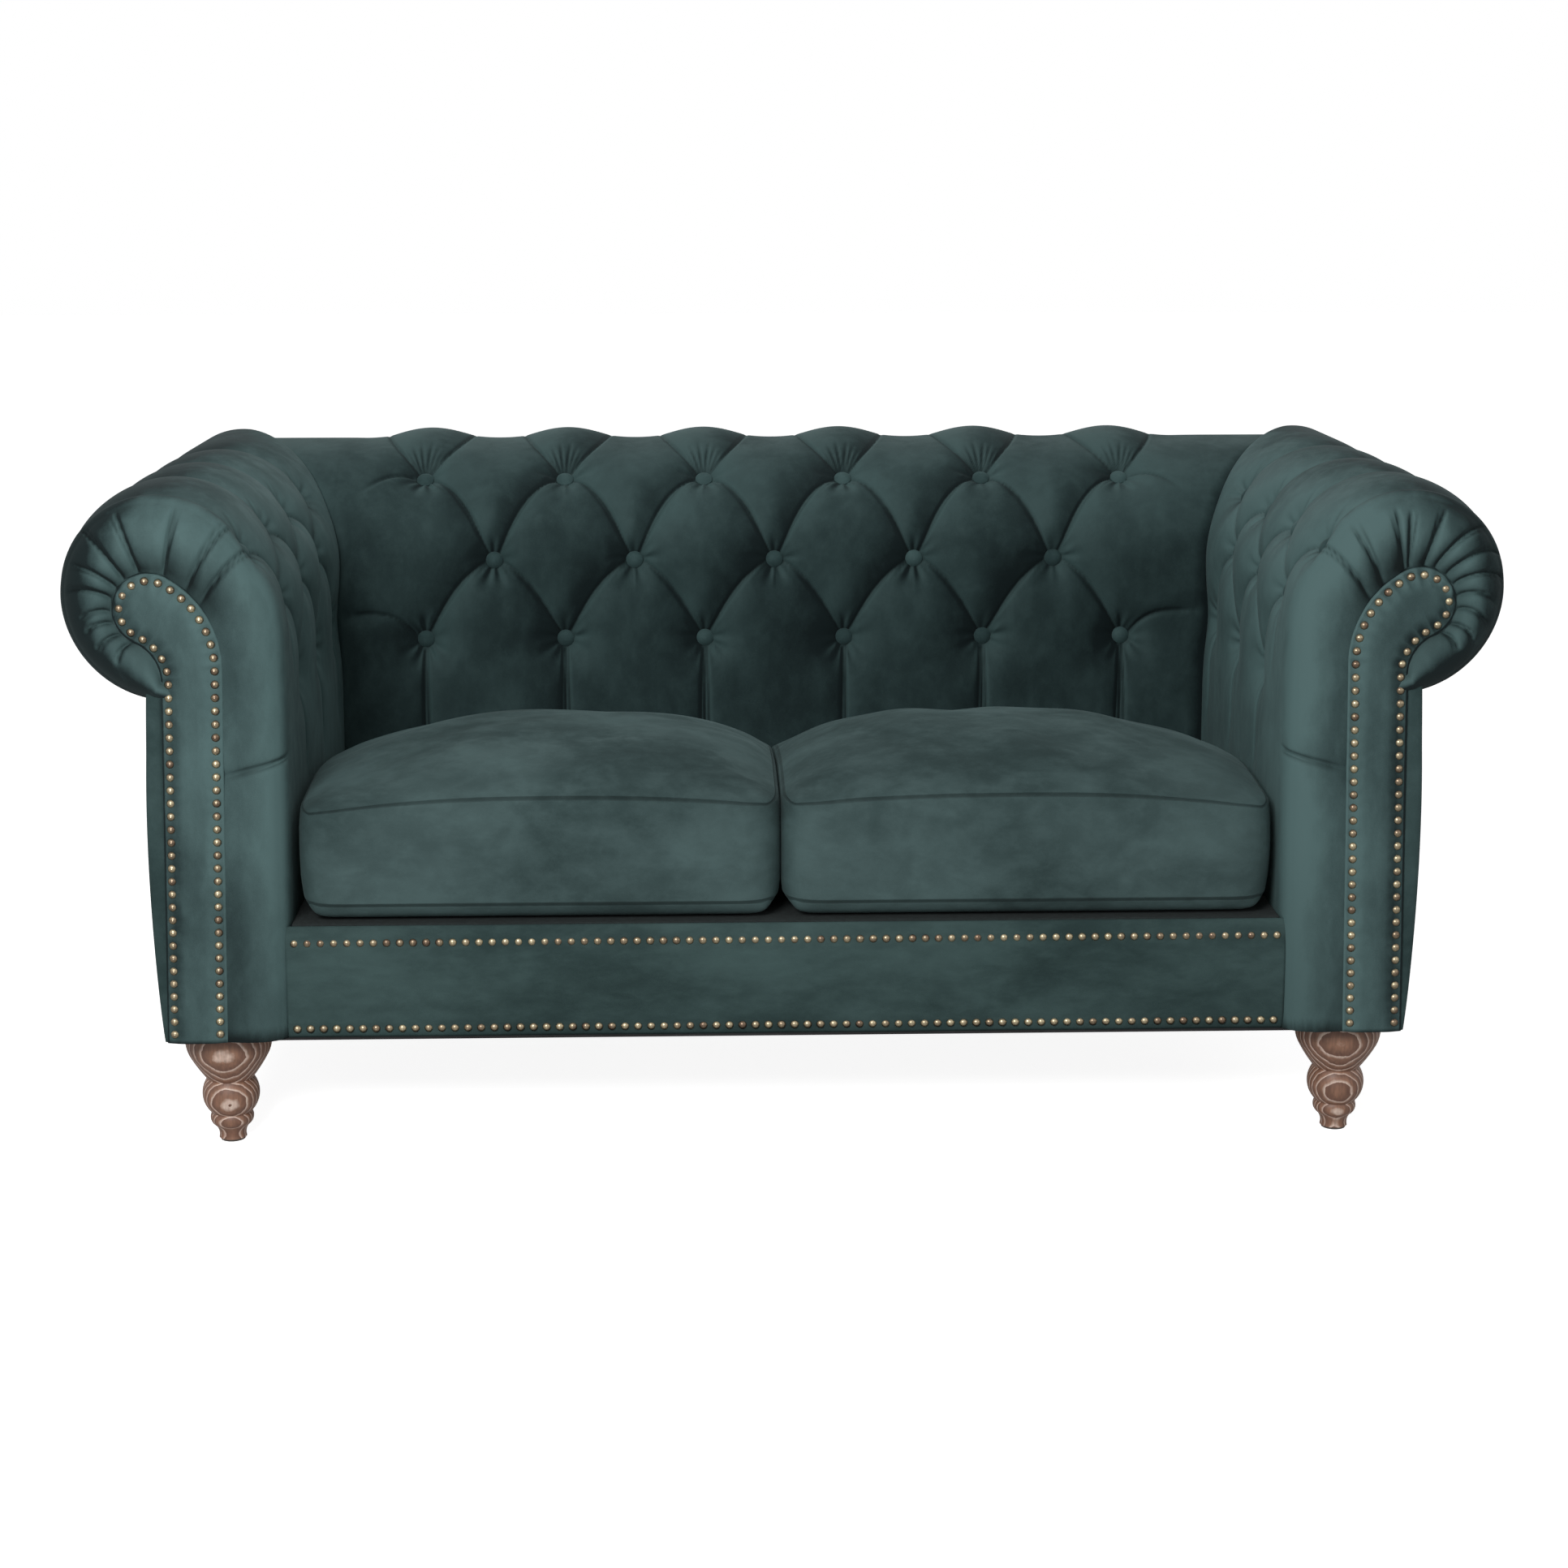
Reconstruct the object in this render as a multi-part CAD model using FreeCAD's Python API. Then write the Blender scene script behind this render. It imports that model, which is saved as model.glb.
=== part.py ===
import FreeCAD, Part
import math
import os

from FreeCAD import Vector

# A two-seat rolled-arm sofa with a buttoned back, built as a hardwood frame that carries
# springs, padding, loose cushions, nailed facings and turned feet.
# Millimetres. X runs to the right, Y to the back, Z up; the origin is under the middle.

# Seat and body
seat_width = 1180.0            # clear width between the inside arms
body_bottom_z = 150.0          # underside of the upholstered body
front_y = -450.0               # foremost point, the heads of the facing nails
deck_z = 292.0                 # top of the sprung seat deck
frame_top_z = 274.0            # top of the seat frame, where the pads sit
piece_gap = 0.4                # clearance between soft pieces that lie side by side
lift_gap = 0.8                 # clearance that lets a loose cushion lift out
rest_gap = 0.3                 # a loose cushion over the deck
cloth_swell = 1.0              # cloth swells this far over the line between two stops
cut_margin = 5.0               # cutting tools run this far past a face
cut_reach = 200.0              # and this far past a whole piece

# Arms
puff_rise = 4.0                # how far the padding swells past its button line
arm_shoulder_z = 640.0
arm_top_z = 820.0
arm_fall = 14.0                # the arm's top is this much lower where it meets the back
arm_foot_flare = 9.0           # the inside face spreads this much towards its foot
arm_roll_offset = 143.0        # inside face to the axis of the roll
arm_width = 160.0              # inside face to the outside panel
roll_axis_z = 698.0
roll_radius = 122.0
roll_under = 133.0             # the roll's underside hangs this far below its axis
arm_wall = 52.4                # thickness of the padded inside wall of an arm
arm_button_pitch = 165.0
arm_button_setback = 55.0      # first column of buttons behind the foremost point
arm_button_columns = 4
arm_low_row_z = 562.0
arm_mid_row_z = 676.0
arm_high_row_z = 752.0
dome_depth = 50.0              # the padding rounds over this depth at the arm's front
neck_fullness = 4.0            # how squarely the padding rounds over beside the neck
head_fullness = 2.3            # and round the scroll
dome_steps = (-4.0, -1.0, 9.0, 25.0)    # sections of the dome, from the facing's back

# Back
back_face_y = 138.0            # front of the inside back at its shoulder
back_rake = 13.0               # the face comes forward this much down to the deck
back_shoulder_z = 640.0
back_top_z = 806.0
back_roll_offset = 190.0       # shoulder of the face to the axis of the roll
back_roll_axis_z = 690.0
back_roll_under = 125.0
back_wall = 60.4               # thickness of the padded inside wall at its shoulder
outside_back_offset = 207.0    # shoulder of the face to the outside back
back_button_pitch = 193.0
back_low_row_z = 534.0
back_mid_row_z = 643.0
back_high_row_z = 762.0
back_button_columns = 6
roll_valley = 14.0             # dip in the back's top line above the middle row

# Tufting
pit_depth = 21.0
pleat_depth = 9.0
button_diameter = 23.0
button_rim = 3.0
button_dome = 5.0

# Scroll facing on the front of each arm, along its line of nails
nose_radius = 34.0
nose_offset_x = 9.0            # nose centre outward of the roll axis
nose_offset_z = -18.0
sweep_radius = 112.0
hollow_radius = 60.0
neck_inset = 23.0              # outside panel to the outer line of nails
neck_width = 54.0
neck_lean = 14.0               # the neck stands this much further out at its foot
nail_margin = 9.0              # nail line to the edge of the facing
facing_thickness = 6.4
post_margin = 4.0
post_thickness = 28.0

# Nails
nail_head_diameter = 10.4
nail_head_height = 3.6
nail_pin_diameter = 1.8
nail_pin_length = 12.0
nail_pitch = 15.8
nail_end_share = 0.7           # first nail from the scroll's foot, in pitches
pin_gap = 0.1
rail_nail_low = 11.0           # lower row above the body's underside
rail_nail_high = 119.0
rail_nail_end = 6.0            # first nail from the end of the front border

# Frame timber
rail_thickness = 28.0
seat_rail_top_z = 266.0
lip_thickness = 12.6           # the front rail stands up to the deck here, before the clips
front_rail_inset = 23.0        # front face of the front seat rail behind the foremost point
border_thickness = 3.0
border_top_z = 290.0
stretcher_height = 70.0
stretcher_low = 30.0
top_rail_width = 52.0
top_rail_height = 45.0
top_rail_inset = 4.0           # rail centre to the nose centre
tack_rail_height = 40.0
tack_rail_width = 52.0
foot_block_height = 52.0
foot_block_length = 90.0
foot_block_width = 100.0
base_rail_width = 28.0
upright_inset = 46.0           # end of the rear rail to the outer back upright
panel_thickness = 3.0
panel_bulge = 9.0
webbing_width = 60.0
webbing_thickness = 1.6
webbing_lap = 25.0
arm_strap_count = 5
back_strap_count = 9

# Seat springs
wire_diameter = 4.0
spring_count = 8
spring_runs = 19
spring_run_length = 34.0
clip_length = 24.0
clip_width = 14.0
clip_height = 8.0
clip_gap = 0.3

# Loose cushions
cushion_split_x = -8.0         # the two cushions meet here
cushion_front_inset = 14.0     # behind the foremost point
cushion_back_gap = 20.0        # in front of the inside back's shoulder
cushion_height = 209.0
cushion_lower_seam = 25.0
cushion_upper_seam = 155.0
cushion_corner = 46.0
cover_thickness = 3.0
zip_length = 420.0
zip_tape = 26.0
zip_depth = 9.0                # the zip lies this deep in the back of the boxing
zip_tape_thickness = 1.2
zip_ridge_height = 5.0
zip_ridge_thickness = 1.6
slider_length = 11.0
slider_height = 10.0
slider_wall = 1.4
slider_gap = 0.3
pull_length = 24.0
pull_width = 6.0
pull_thickness = 1.4

# Feet
foot_inset_x = 60.0            # foot axis inside the outside arm panel
front_foot_inset = 71.0        # behind the back of the facing
rear_foot_inset = 65.0         # in front of the outside back
foot_top_radius = 50.0
foot_cup_radius = 53.0
foot_neck_radius = 28.5
foot_bulb_radius = 35.0
foot_waist_radius = 24.5
foot_ring_radius = 26.5
foot_ankle_radius = 17.0
glide_height = 3.0
glide_radius = 15.0
foot_plate_size = 64.0
foot_plate_thickness = 3.0
bolt_diameter = 8.0
bolt_head_diameter = 17.0
bolt_head_height = 5.0
bolt_reach = 48.0              # length of the bolt inside the foot
bolt_gap = 0.2
dust_cover_thickness = 1.0
dust_cover_inset = 4.0
foot_room = 1.0                # gap in the dust cover round each foot and its plate

# Lines that several pieces share
arm_face_x = seat_width / 2 + puff_rise
arm_axis_x = arm_face_x + arm_roll_offset
back_roll_axis_y = back_face_y + back_roll_offset
outside_back_y = back_face_y + outside_back_offset
back_wall_y = back_face_y + back_wall
rear_rail_y = back_wall_y + webbing_thickness
arm_outer_x = seat_width / 2 + arm_width
arm_wall_x = arm_face_x + arm_wall
web_x = arm_wall_x + webbing_thickness
arm_button_first_y = front_y + arm_button_setback
facing_front_y = front_y + nail_head_height
facing_back_y = facing_front_y + facing_thickness
post_back_y = facing_back_y + post_thickness
front_rail_y = front_y + front_rail_inset
border_front_y = front_rail_y - border_thickness
rear_post_y = outside_back_y - rail_thickness
corner_x = arm_axis_x
corner_y = back_roll_axis_y
top_rail_low_z = back_roll_axis_z - roll_valley - top_rail_height / 2
spring_z = seat_rail_top_z + clip_height / 2
cushion_front_y = front_y + cushion_front_inset
cushion_back_y = back_face_y - cushion_back_gap
foot_x = arm_outer_x - foot_inset_x
front_foot_y = facing_back_y + front_foot_inset
rear_foot_y = outside_back_y - rear_foot_inset

os.makedirs("parts", exist_ok=True)


def box(x0, x1, y0, y1, z0, z1):
    return Part.makeBox(x1 - x0, y1 - y0, z1 - z0, Vector(x0, y0, z0))


def mirrored(shape):
    return shape.mirror(Vector(0, 0, 0), Vector(1, 0, 0))


def group(shapes):
    return Part.makeCompound(shapes)


def arc(a, b, c):
    return Part.Arc(Vector(*a), Vector(*b), Vector(*c)).toShape()


def line(a, b):
    return Part.LineSegment(Vector(*a), Vector(*b)).toShape()


def save(name, shape):
    shape.exportStep("parts/" + name + ".step")
    print(name, len(shape.Solids), round(shape.Volume / 1000.0, 1), shape.isValid())


def save_pair(name, shape):
    save("right_" + name, shape)
    save("left_" + name, mirrored(shape))


# Outline of a rolled arm or back, across its length.
# s runs from 0 at the foot of the inside face to 1 at the shoulder, 2 at the top of the
# roll, 3 at its outermost line and 4 where its underside meets the outside panel.


class RolledOutline:
    def __init__(self, face, foot, foot_z, shoulder_z, top_z, axis, axis_z, under, end):
        self.face, self.foot, self.foot_z = face, foot, foot_z
        self.shoulder_z, self.top_z = shoulder_z, top_z
        self.axis, self.axis_z, self.under, self.end = axis, axis_z, under, end

    def point(self, s, fall=0.0):
        top_z = self.top_z - fall
        if s <= 1:
            across = self.face + (self.foot - self.face) * (1 - s) ** 1.5
            return across, self.foot_z + (self.shoulder_z - self.foot_z) * s
        if s <= 3:
            turn = math.radians(90 * (s - 1 if s <= 2 else 3 - s))
            if s <= 2:
                across = self.axis - (self.axis - self.face) * math.cos(turn)
                return across, self.shoulder_z + (top_z - self.shoulder_z) * math.sin(turn)
            across = self.axis + roll_radius * math.cos(turn)
            return across, self.axis_z + (top_z - self.axis_z) * math.sin(turn)
        turn = (s - 3) * math.acos((self.end - self.axis) / roll_radius)
        across = self.axis + roll_radius * math.cos(turn)
        return across, self.axis_z - self.under * math.sin(turn)

    def outward(self, s):
        step = 0.004
        a, b = self.point(max(s - step, 0)), self.point(min(s + step, 4))
        run = math.hypot(b[0] - a[0], b[1] - a[1])
        return -(b[1] - a[1]) / run, (b[0] - a[0]) / run

    def at_height(self, z):
        if z <= self.shoulder_z:
            return (z - self.foot_z) / (self.shoulder_z - self.foot_z)
        rise = (z - self.shoulder_z) / (self.top_z - self.shoulder_z)
        return 1 + math.degrees(math.asin(rise)) / 90


arm_form = RolledOutline(arm_face_x, arm_face_x + arm_foot_flare, body_bottom_z, arm_shoulder_z,
                         arm_top_z, arm_axis_x, roll_axis_z, roll_under, arm_outer_x)
back_form = RolledOutline(back_face_y, back_face_y - back_rake, frame_top_z, back_shoulder_z,
                          back_top_z, back_roll_axis_y, back_roll_axis_z, back_roll_under,
                          outside_back_y + panel_thickness)
arm_under_z = arm_form.point(4)[1]
back_under_z = back_form.point(4)[1]


# Scroll of the arm's front: neck, nose and hollow, grown outward from the line of nails.

nose_x = arm_axis_x + nose_offset_x
nose_z = roll_axis_z + nose_offset_z
neck_out_x = arm_outer_x - neck_inset
neck_in_x = neck_out_x - neck_width
sweep_x = neck_in_x + sweep_radius
sweep_z = nose_z - math.sqrt((sweep_radius - nose_radius) ** 2 - (sweep_x - nose_x) ** 2)
hollow_x = neck_out_x + hollow_radius
hollow_z = nose_z - math.sqrt((hollow_radius + nose_radius) ** 2 - (hollow_x - nose_x) ** 2)
sweep_turn = math.degrees(math.atan2(nose_z - sweep_z, nose_x - sweep_x))
hollow_turn = math.degrees(math.atan2(nose_z - hollow_z, nose_x - hollow_x))


def round_point(x, z, radius, degrees):
    turn = math.radians(degrees)
    return x + radius * math.cos(turn), z + radius * math.sin(turn)


def scroll_point(s, grow):
    """Point of the scroll that answers to the same s on the arm's outline."""
    if s <= 1:
        return neck_in_x - grow + neck_lean * (1 - s), body_bottom_z + (sweep_z - body_bottom_z) * s
    if s <= 1.8:
        turn = 180 + (sweep_turn - 180) * (s - 1) / 0.8
        return round_point(sweep_x, sweep_z, sweep_radius + grow, turn)
    if s <= 3.5:
        turn = sweep_turn + (hollow_turn - 180 - sweep_turn) * (s - 1.8) / 1.7
        return round_point(nose_x, nose_z, nose_radius + grow, turn)
    turn = hollow_turn + (180 - hollow_turn) * (s - 3.5) / 0.5
    return round_point(hollow_x, hollow_z, hollow_radius - grow, turn)


def scroll_wire(grow, y):
    def at(s):
        x, z = scroll_point(s, grow)
        return x, y, z
    foot_out = (neck_out_x + grow + neck_lean, y, body_bottom_z)
    edges = [line(at(0), at(1)), arc(at(1), at(1.4), at(1.8)), arc(at(1.8), at(2.2), at(2.65)),
             arc(at(2.65), at(3.1), at(3.5)), arc(at(3.5), at(3.75), at(4)), line(at(4), foot_out),
             line(foot_out, at(0))]
    return Part.Wire(edges)


def scroll_plate(grow, y0, y1):
    return Part.Face(scroll_wire(grow, y0)).extrude(Vector(0, y1 - y0, 0))


# Nails


def nail(x, y, z):
    """A domed nail in a face that looks to the front, its head seated at y."""
    radius = nail_head_diameter / 2
    crown = (radius ** 2 + nail_head_height ** 2) / (2 * nail_head_height)
    lean = crown - nail_head_height
    half = math.asin(radius / crown) / 2
    top = (0, nail_head_height)
    mid = (crown * math.sin(half), crown * math.cos(half) - lean)
    pin = nail_pin_diameter / 2
    corners = [(radius, 0), (pin, 0), (pin, -nail_pin_length), (0, -nail_pin_length), top]
    points = [(x + a, y - b, z) for a, b in corners]
    edges = [arc(points[4], (x + mid[0], y - mid[1], z), points[0])]
    edges += [line(points[i], points[i + 1]) for i in range(4)]
    return Part.Face(Part.Wire(edges)).revolve(Vector(x, y, z), Vector(0, 1, 0), 360)


def nail_pins(places, y):
    radius = nail_pin_diameter / 2 + pin_gap
    reach = nail_pin_length + pin_gap
    return group([Part.makeCylinder(radius, reach + 1, Vector(x, y - 1, z), Vector(0, 1, 0))
                  for x, z in places])


def facing_nail_places():
    """Even places along the scroll's line of nails, from the inner foot round to the outer."""
    path = Part.Wire(scroll_wire(0, 0).Edges[:-1])
    margin = nail_end_share * nail_pitch
    count = int((path.Length - 2 * margin) / nail_pitch)
    step = (path.Length - 2 * margin) / count
    places = []
    reached = 0.0
    wanted = margin
    for edge in path.OrderedEdges:
        while wanted <= reached + edge.Length + 0.001 and len(places) <= count:
            here = edge.getParameterByLength(min(wanted - reached, edge.Length))
            point = edge.valueAt(here)
            places.append((point.x, point.z))
            wanted += step
        reached += edge.Length
    return places


# Padded arm


def dome_share(s, y):
    """Share of its full size that the arm's padding has at y, behind the facing."""
    depth = max(arm_button_first_y - y, 0.0) / dome_depth
    power = neck_fullness + (head_fullness - neck_fullness) * min(max(s - 1, 0), 1)
    return (1 - min(depth, 1) ** power) ** (1 / power)


def arm_fall_at(y):
    return arm_fall * (y - front_y) / (back_roll_axis_y - front_y)


def arm_point(s, y, depth):
    share = dome_share(s, y)
    full = arm_form.point(s, arm_fall_at(y))
    out = arm_form.outward(s)
    near = scroll_point(s, nail_margin)
    x = near[0] + (full[0] - near[0]) * share - out[0] * depth * share
    z = near[1] + (full[1] - near[1]) * share - out[1] * depth * share
    return x, y, z


arm_rows = [arm_form.at_height(z) for z in (arm_low_row_z, arm_mid_row_z, arm_high_row_z)]
low_s, mid_s, high_s = arm_rows
arm_stops = [0, 0.35, 0.66, low_s, (low_s + mid_s) / 2, mid_s, (mid_s + high_s) / 2, high_s,
             (high_s + 2) / 2, 2, 2.5, 3, 3.5, 4]
swell = -puff_rise * 0.6
even_depths = [0, 0, 4, pit_depth, 2, swell, 2, pit_depth, pleat_depth, 7, 5, 2, 0, 0]
odd_depths = [0, 0, 0, swell, 2, pit_depth, 2, swell, swell, swell, swell, 0, 0, 0]
between_depths = [0, 0, 0, 1, pleat_depth, 1, pleat_depth, 1, 0, 0, 0, 0, 0, 0]
plain_depths = [0] * len(arm_stops)
first_depths = [0, 0, 0, 0, 0, swell, 2, pit_depth, pleat_depth, 7, 5, 2, 0, 0]


def padded_edges(point, stops, depths):
    """Arcs from stop to stop, each swelling a little over the line between its ends."""
    edges = []
    for i in range(len(stops) - 1):
        middle = (stops[i] + stops[i + 1]) / 2
        sunk = 0.35 * (depths[i] + depths[i + 1]) / 2 - cloth_swell
        edges.append(arc(point(stops[i], depths[i]), point(middle, sunk),
                         point(stops[i + 1], depths[i + 1])))
    return edges


def arm_section(y, depths):
    edges = padded_edges(lambda s, depth: arm_point(s, y, depth), arm_stops, depths)
    share = dome_share(0, y)
    inner = neck_in_x + neck_lean + (arm_wall_x - neck_in_x - neck_lean) * share
    start = arm_point(0, y, depths[0])
    end = arm_point(4, y, depths[-1])
    corners = [end, (neck_in_x + neck_width / 2, y, arm_under_z), (inner, y, arm_under_z),
               (inner, y, body_bottom_z), start]
    edges += [line(corners[i], corners[i + 1]) for i in range(4)]
    return Part.Wire(edges)


def arm_stations():
    """Front dome, then a section at each button column and half-way between columns."""
    stations = [(facing_back_y + step, plain_depths) for step in dome_steps]
    stations.append((arm_button_first_y, first_depths))
    quarter = arm_button_pitch / 4
    count = 4 * arm_button_columns
    for i in range(1, count + 1):
        depths = (even_depths, between_depths, odd_depths, between_depths)[i % 4]
        stations.append((arm_button_first_y + i * quarter, depths))
    last = back_roll_axis_y + roll_radius
    stations.append((arm_button_first_y + (count + 1) * quarter, plain_depths))
    stations.append((max(last, stations[-1][0] + quarter), plain_depths))
    return stations


def behind_mitre(gap):
    """Everything on the back's side of the mitres between the arms and the back."""
    far = back_roll_axis_y + roll_radius + cut_reach
    run_x, run_y = corner_x - arm_face_x, corner_y - back_face_y
    run = math.hypot(run_x, run_y)
    off_x, off_y = run_y / run * gap, -run_x / run * gap
    corners = [(arm_face_x - 3 * run_x, back_face_y - 3 * run_y), (corner_x, corner_y),
               (corner_x + far - corner_y, far)]
    right = [Vector(x + off_x, y + off_y, 0) for x, y in corners]
    left = [Vector(-point.x, point.y, 0) for point in reversed(right)]
    plan = Part.Face(Part.makePolygon(right + left + right[:1]))
    return plan.extrude(Vector(0, 0, arm_top_z + cut_reach))


def button_shape(base, out):
    """A covered button: a disc with a domed face, seated on its flat back."""
    radius = button_diameter / 2
    crown = (radius ** 2 + button_dome ** 2) / (2 * button_dome)
    half = math.asin(radius / crown) / 2
    shoulder = (crown * math.sin(half), 0,
                button_rim + button_dome - crown + crown * math.cos(half))
    top, rim, low = (0, 0, button_rim + button_dome), (radius, 0, button_rim), (radius, 0, 0)
    edges = [arc(top, shoulder, rim), line(rim, low), line(low, (0, 0, 0)), line((0, 0, 0), top)]
    turned = Part.Face(Part.Wire(edges)).revolve(Vector(), Vector(0, 0, 1), 360)
    turned.Placement = FreeCAD.Placement(base, FreeCAD.Rotation(Vector(0, 0, 1), out))
    return turned


def button_pocket(base, out):
    radius = button_diameter / 2 + piece_gap
    return Part.makeCylinder(radius, 2 * pit_depth, base, out)


def arm_button_places():
    places = []
    for column in range(arm_button_columns):
        y = arm_button_first_y + column * arm_button_pitch
        rows = [high_s] if column == 0 else [low_s, high_s]
        for s, here in [(s, y) for s in rows] + [(mid_s, y + arm_button_pitch / 2)]:
            x, y_at, z = arm_point(s, here, pit_depth + 1)
            out = arm_form.outward(s)
            places.append((Vector(x, y_at, z), Vector(out[0], 0, out[1])))
    return [place for place in places if place[0].y < back_face_y - button_diameter]


def cut_all(shape, tools):
    for tool in tools:
        shape = shape.cut(tool)
    return shape


def largest(shape):
    return max(shape.Solids, key=lambda solid: solid.Volume)


# Hardwood frame of the right arm and of the seat

post = scroll_plate(post_margin, facing_back_y, post_back_y)
post = post.fuse(box(neck_in_x + neck_width / 2, arm_outer_x, facing_back_y, post_back_y,
                     body_bottom_z, arm_under_z)).removeSplitter()
front_rail_back_y = front_rail_y + rail_thickness
front_rail_half = neck_in_x + neck_width / 2
front_rail = box(-front_rail_half, front_rail_half, front_rail_y, front_rail_back_y,
                 body_bottom_z, seat_rail_top_z)
front_lip = box(-front_rail_half, front_rail_half, front_rail_y, front_rail_y + lip_thickness,
                body_bottom_z, frame_top_z)
front_rail = cut_all(front_rail.fuse(front_lip), [post, mirrored(post)]).removeSplitter()

arm_rail_x = nose_x - top_rail_width / 2 - top_rail_inset
back_rail_front_y = back_roll_axis_y - rail_thickness
top_rail_top_z = top_rail_low_z + top_rail_height
arm_top_rail = box(arm_rail_x, arm_rail_x + top_rail_width, post_back_y, back_rail_front_y,
                   top_rail_low_z, top_rail_top_z)
back_rail_half = arm_rail_x + top_rail_width
back_top_rail = box(-back_rail_half, back_rail_half, back_rail_front_y, outside_back_y,
                    top_rail_low_z, top_rail_top_z)
rear_post = box(web_x, arm_outer_x, rear_post_y, outside_back_y, body_bottom_z, top_rail_low_z)

side_rail = box(web_x - rail_thickness, web_x, front_rail_back_y, outside_back_y,
                body_bottom_z, frame_top_z)
rear_rail_half = web_x - rail_thickness
rear_rail_back_y = rear_rail_y + rail_thickness
rear_rail = box(-rear_rail_half, rear_rail_half, rear_rail_y, rear_rail_back_y,
                body_bottom_z, seat_rail_top_z)
stretcher = box(-rail_thickness / 2, rail_thickness / 2, front_rail_back_y, rear_rail_y,
                body_bottom_z + stretcher_low, body_bottom_z + stretcher_low + stretcher_height)

front_block_y1 = post_back_y + foot_block_length
rear_block_y0 = rear_post_y - foot_block_length
block_top_z = body_bottom_z + foot_block_height
front_block = box(web_x, web_x + foot_block_width, post_back_y, front_block_y1,
                  body_bottom_z, block_top_z).cut(front_rail)
rear_block = box(web_x, web_x + foot_block_width, rear_block_y0, rear_post_y,
                 body_bottom_z, block_top_z)
base_rail = box(arm_outer_x - base_rail_width, arm_outer_x, front_block_y1, rear_block_y0,
                body_bottom_z, block_top_z)
tack_x1 = web_x + tack_rail_width
arm_tack_rails = [box(web_x, tack_x1, post_back_y, rear_post_y, frame_top_z,
                      frame_top_z + tack_rail_height),
                  box(web_x, tack_x1, post_back_y, rear_post_y,
                      arm_under_z - tack_rail_height, arm_under_z)]
back_tack_rails = [box(-rear_rail_half, rear_rail_half, rear_rail_y, rear_rail_back_y,
                       frame_top_z, frame_top_z + tack_rail_height),
                   box(-rear_rail_half, rear_rail_half, rear_rail_y, rear_rail_back_y,
                       back_under_z - tack_rail_height, back_under_z)]


def back_upright(x):
    profile = [(rear_rail_back_y, body_bottom_z), (outside_back_y, body_bottom_z),
               (outside_back_y, top_rail_low_z), (back_rail_front_y, top_rail_low_z),
               (rear_rail_back_y, back_under_z)]
    points = [Vector(x - rail_thickness / 2, y, z) for y, z in profile]
    return Part.Face(Part.makePolygon(points + points[:1])).extrude(Vector(rail_thickness, 0, 0))


upright_end_x = rear_rail_half - upright_inset
uprights = [back_upright(x) for x in (-upright_end_x, 0, upright_end_x)]

# Padded arms with their buttons, facings and nails

facing = scroll_plate(nail_margin, facing_front_y, facing_back_y)
arm_pad = Part.makeLoft([arm_section(y, depths) for y, depths in arm_stations()], True, True)
facing_room = scroll_plate(nail_margin + piece_gap, facing_front_y - cut_margin, facing_back_y)
seat_frame_room = box(0, web_x, front_rail_y, outside_back_y, 0, frame_top_z)
arm_places = arm_button_places()
arm_pad = cut_all(arm_pad, [post, facing_room, seat_frame_room, front_rail, rear_post,
                            arm_top_rail, back_top_rail, behind_mitre(piece_gap / 2)])
arm_pad = cut_all(arm_pad, [button_pocket(base, out) for base, out in arm_places])
save_pair("inside_arm_pad", largest(arm_pad))
save_pair("arm_buttons", group([button_shape(base, out) for base, out in arm_places]))

nail_places = facing_nail_places()
pins = nail_pins(nail_places, facing_front_y)
save_pair("arm_facing", facing.cut(pins))
save_pair("arm_front_post", post.cut(pins))
save_pair("arm_nails", group([nail(x, facing_front_y, z) for x, z in nail_places]))
save_pair("arm_top_rail", arm_top_rail)
save_pair("arm_rear_post", rear_post)
save_pair("arm_tack_rails", group(arm_tack_rails))
save_pair("arm_base_rail", base_rail)
save_pair("side_seat_rail", side_rail)
save("rear_seat_rail", rear_rail)
save("centre_stretcher", stretcher)
save("back_top_rail", back_top_rail)
save("back_tack_rails", group(back_tack_rails))
save("back_uprights", group(uprights))


def outside_arm_panel():
    """Cloth over board: a slightly bulged sheet that turns round the post's front edge."""
    top = arm_under_z - piece_gap
    edge_x = arm_outer_x + panel_thickness
    bulge_x = edge_x + panel_bulge
    y0 = facing_back_y - panel_thickness
    low, high = (edge_x, y0, body_bottom_z), (edge_x, y0, top)
    bulge = arc(low, (bulge_x, y0, (body_bottom_z + top) / 2), high)
    flat = [line(high, (arm_outer_x, y0, top)),
            line((arm_outer_x, y0, top), (arm_outer_x, y0, body_bottom_z)),
            line((arm_outer_x, y0, body_bottom_z), low)]
    sheet = Part.Face(Part.Wire([bulge] + flat)).extrude(Vector(0, outside_back_y - y0, 0))
    turn = box(neck_out_x, arm_outer_x, y0, facing_back_y, body_bottom_z, top)
    return sheet.fuse(turn).cut(facing_room).removeSplitter()


save_pair("outside_arm_panel", outside_arm_panel())

# Padded back

back_low_s, back_mid_s, back_high_s = [back_form.at_height(z) for z in
                                       (back_low_row_z, back_mid_row_z, back_high_row_z)]
back_stops = [0, 0.4, back_low_s, (back_low_s + back_mid_s) / 2, back_mid_s,
              (back_mid_s + back_high_s) / 2, back_high_s, (back_high_s + 2) / 2,
              2, 2.5, 3, 3.5, 4]
column_depths = [2, 4, pit_depth, 2, swell, 2, pit_depth, 5, 0, 0, 0, 0, 0]
valley_depths = [0, 0, swell, 2, pit_depth, 2, swell, 0.6 * roll_valley, roll_valley,
                 0.7 * roll_valley, 0.4 * roll_valley, 0, 0]
slope_depths = [0, 0, 1, pleat_depth, 1, pleat_depth, 1, 3, 0.3 * roll_valley,
                0.2 * roll_valley, 0, 0, 0]
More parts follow.
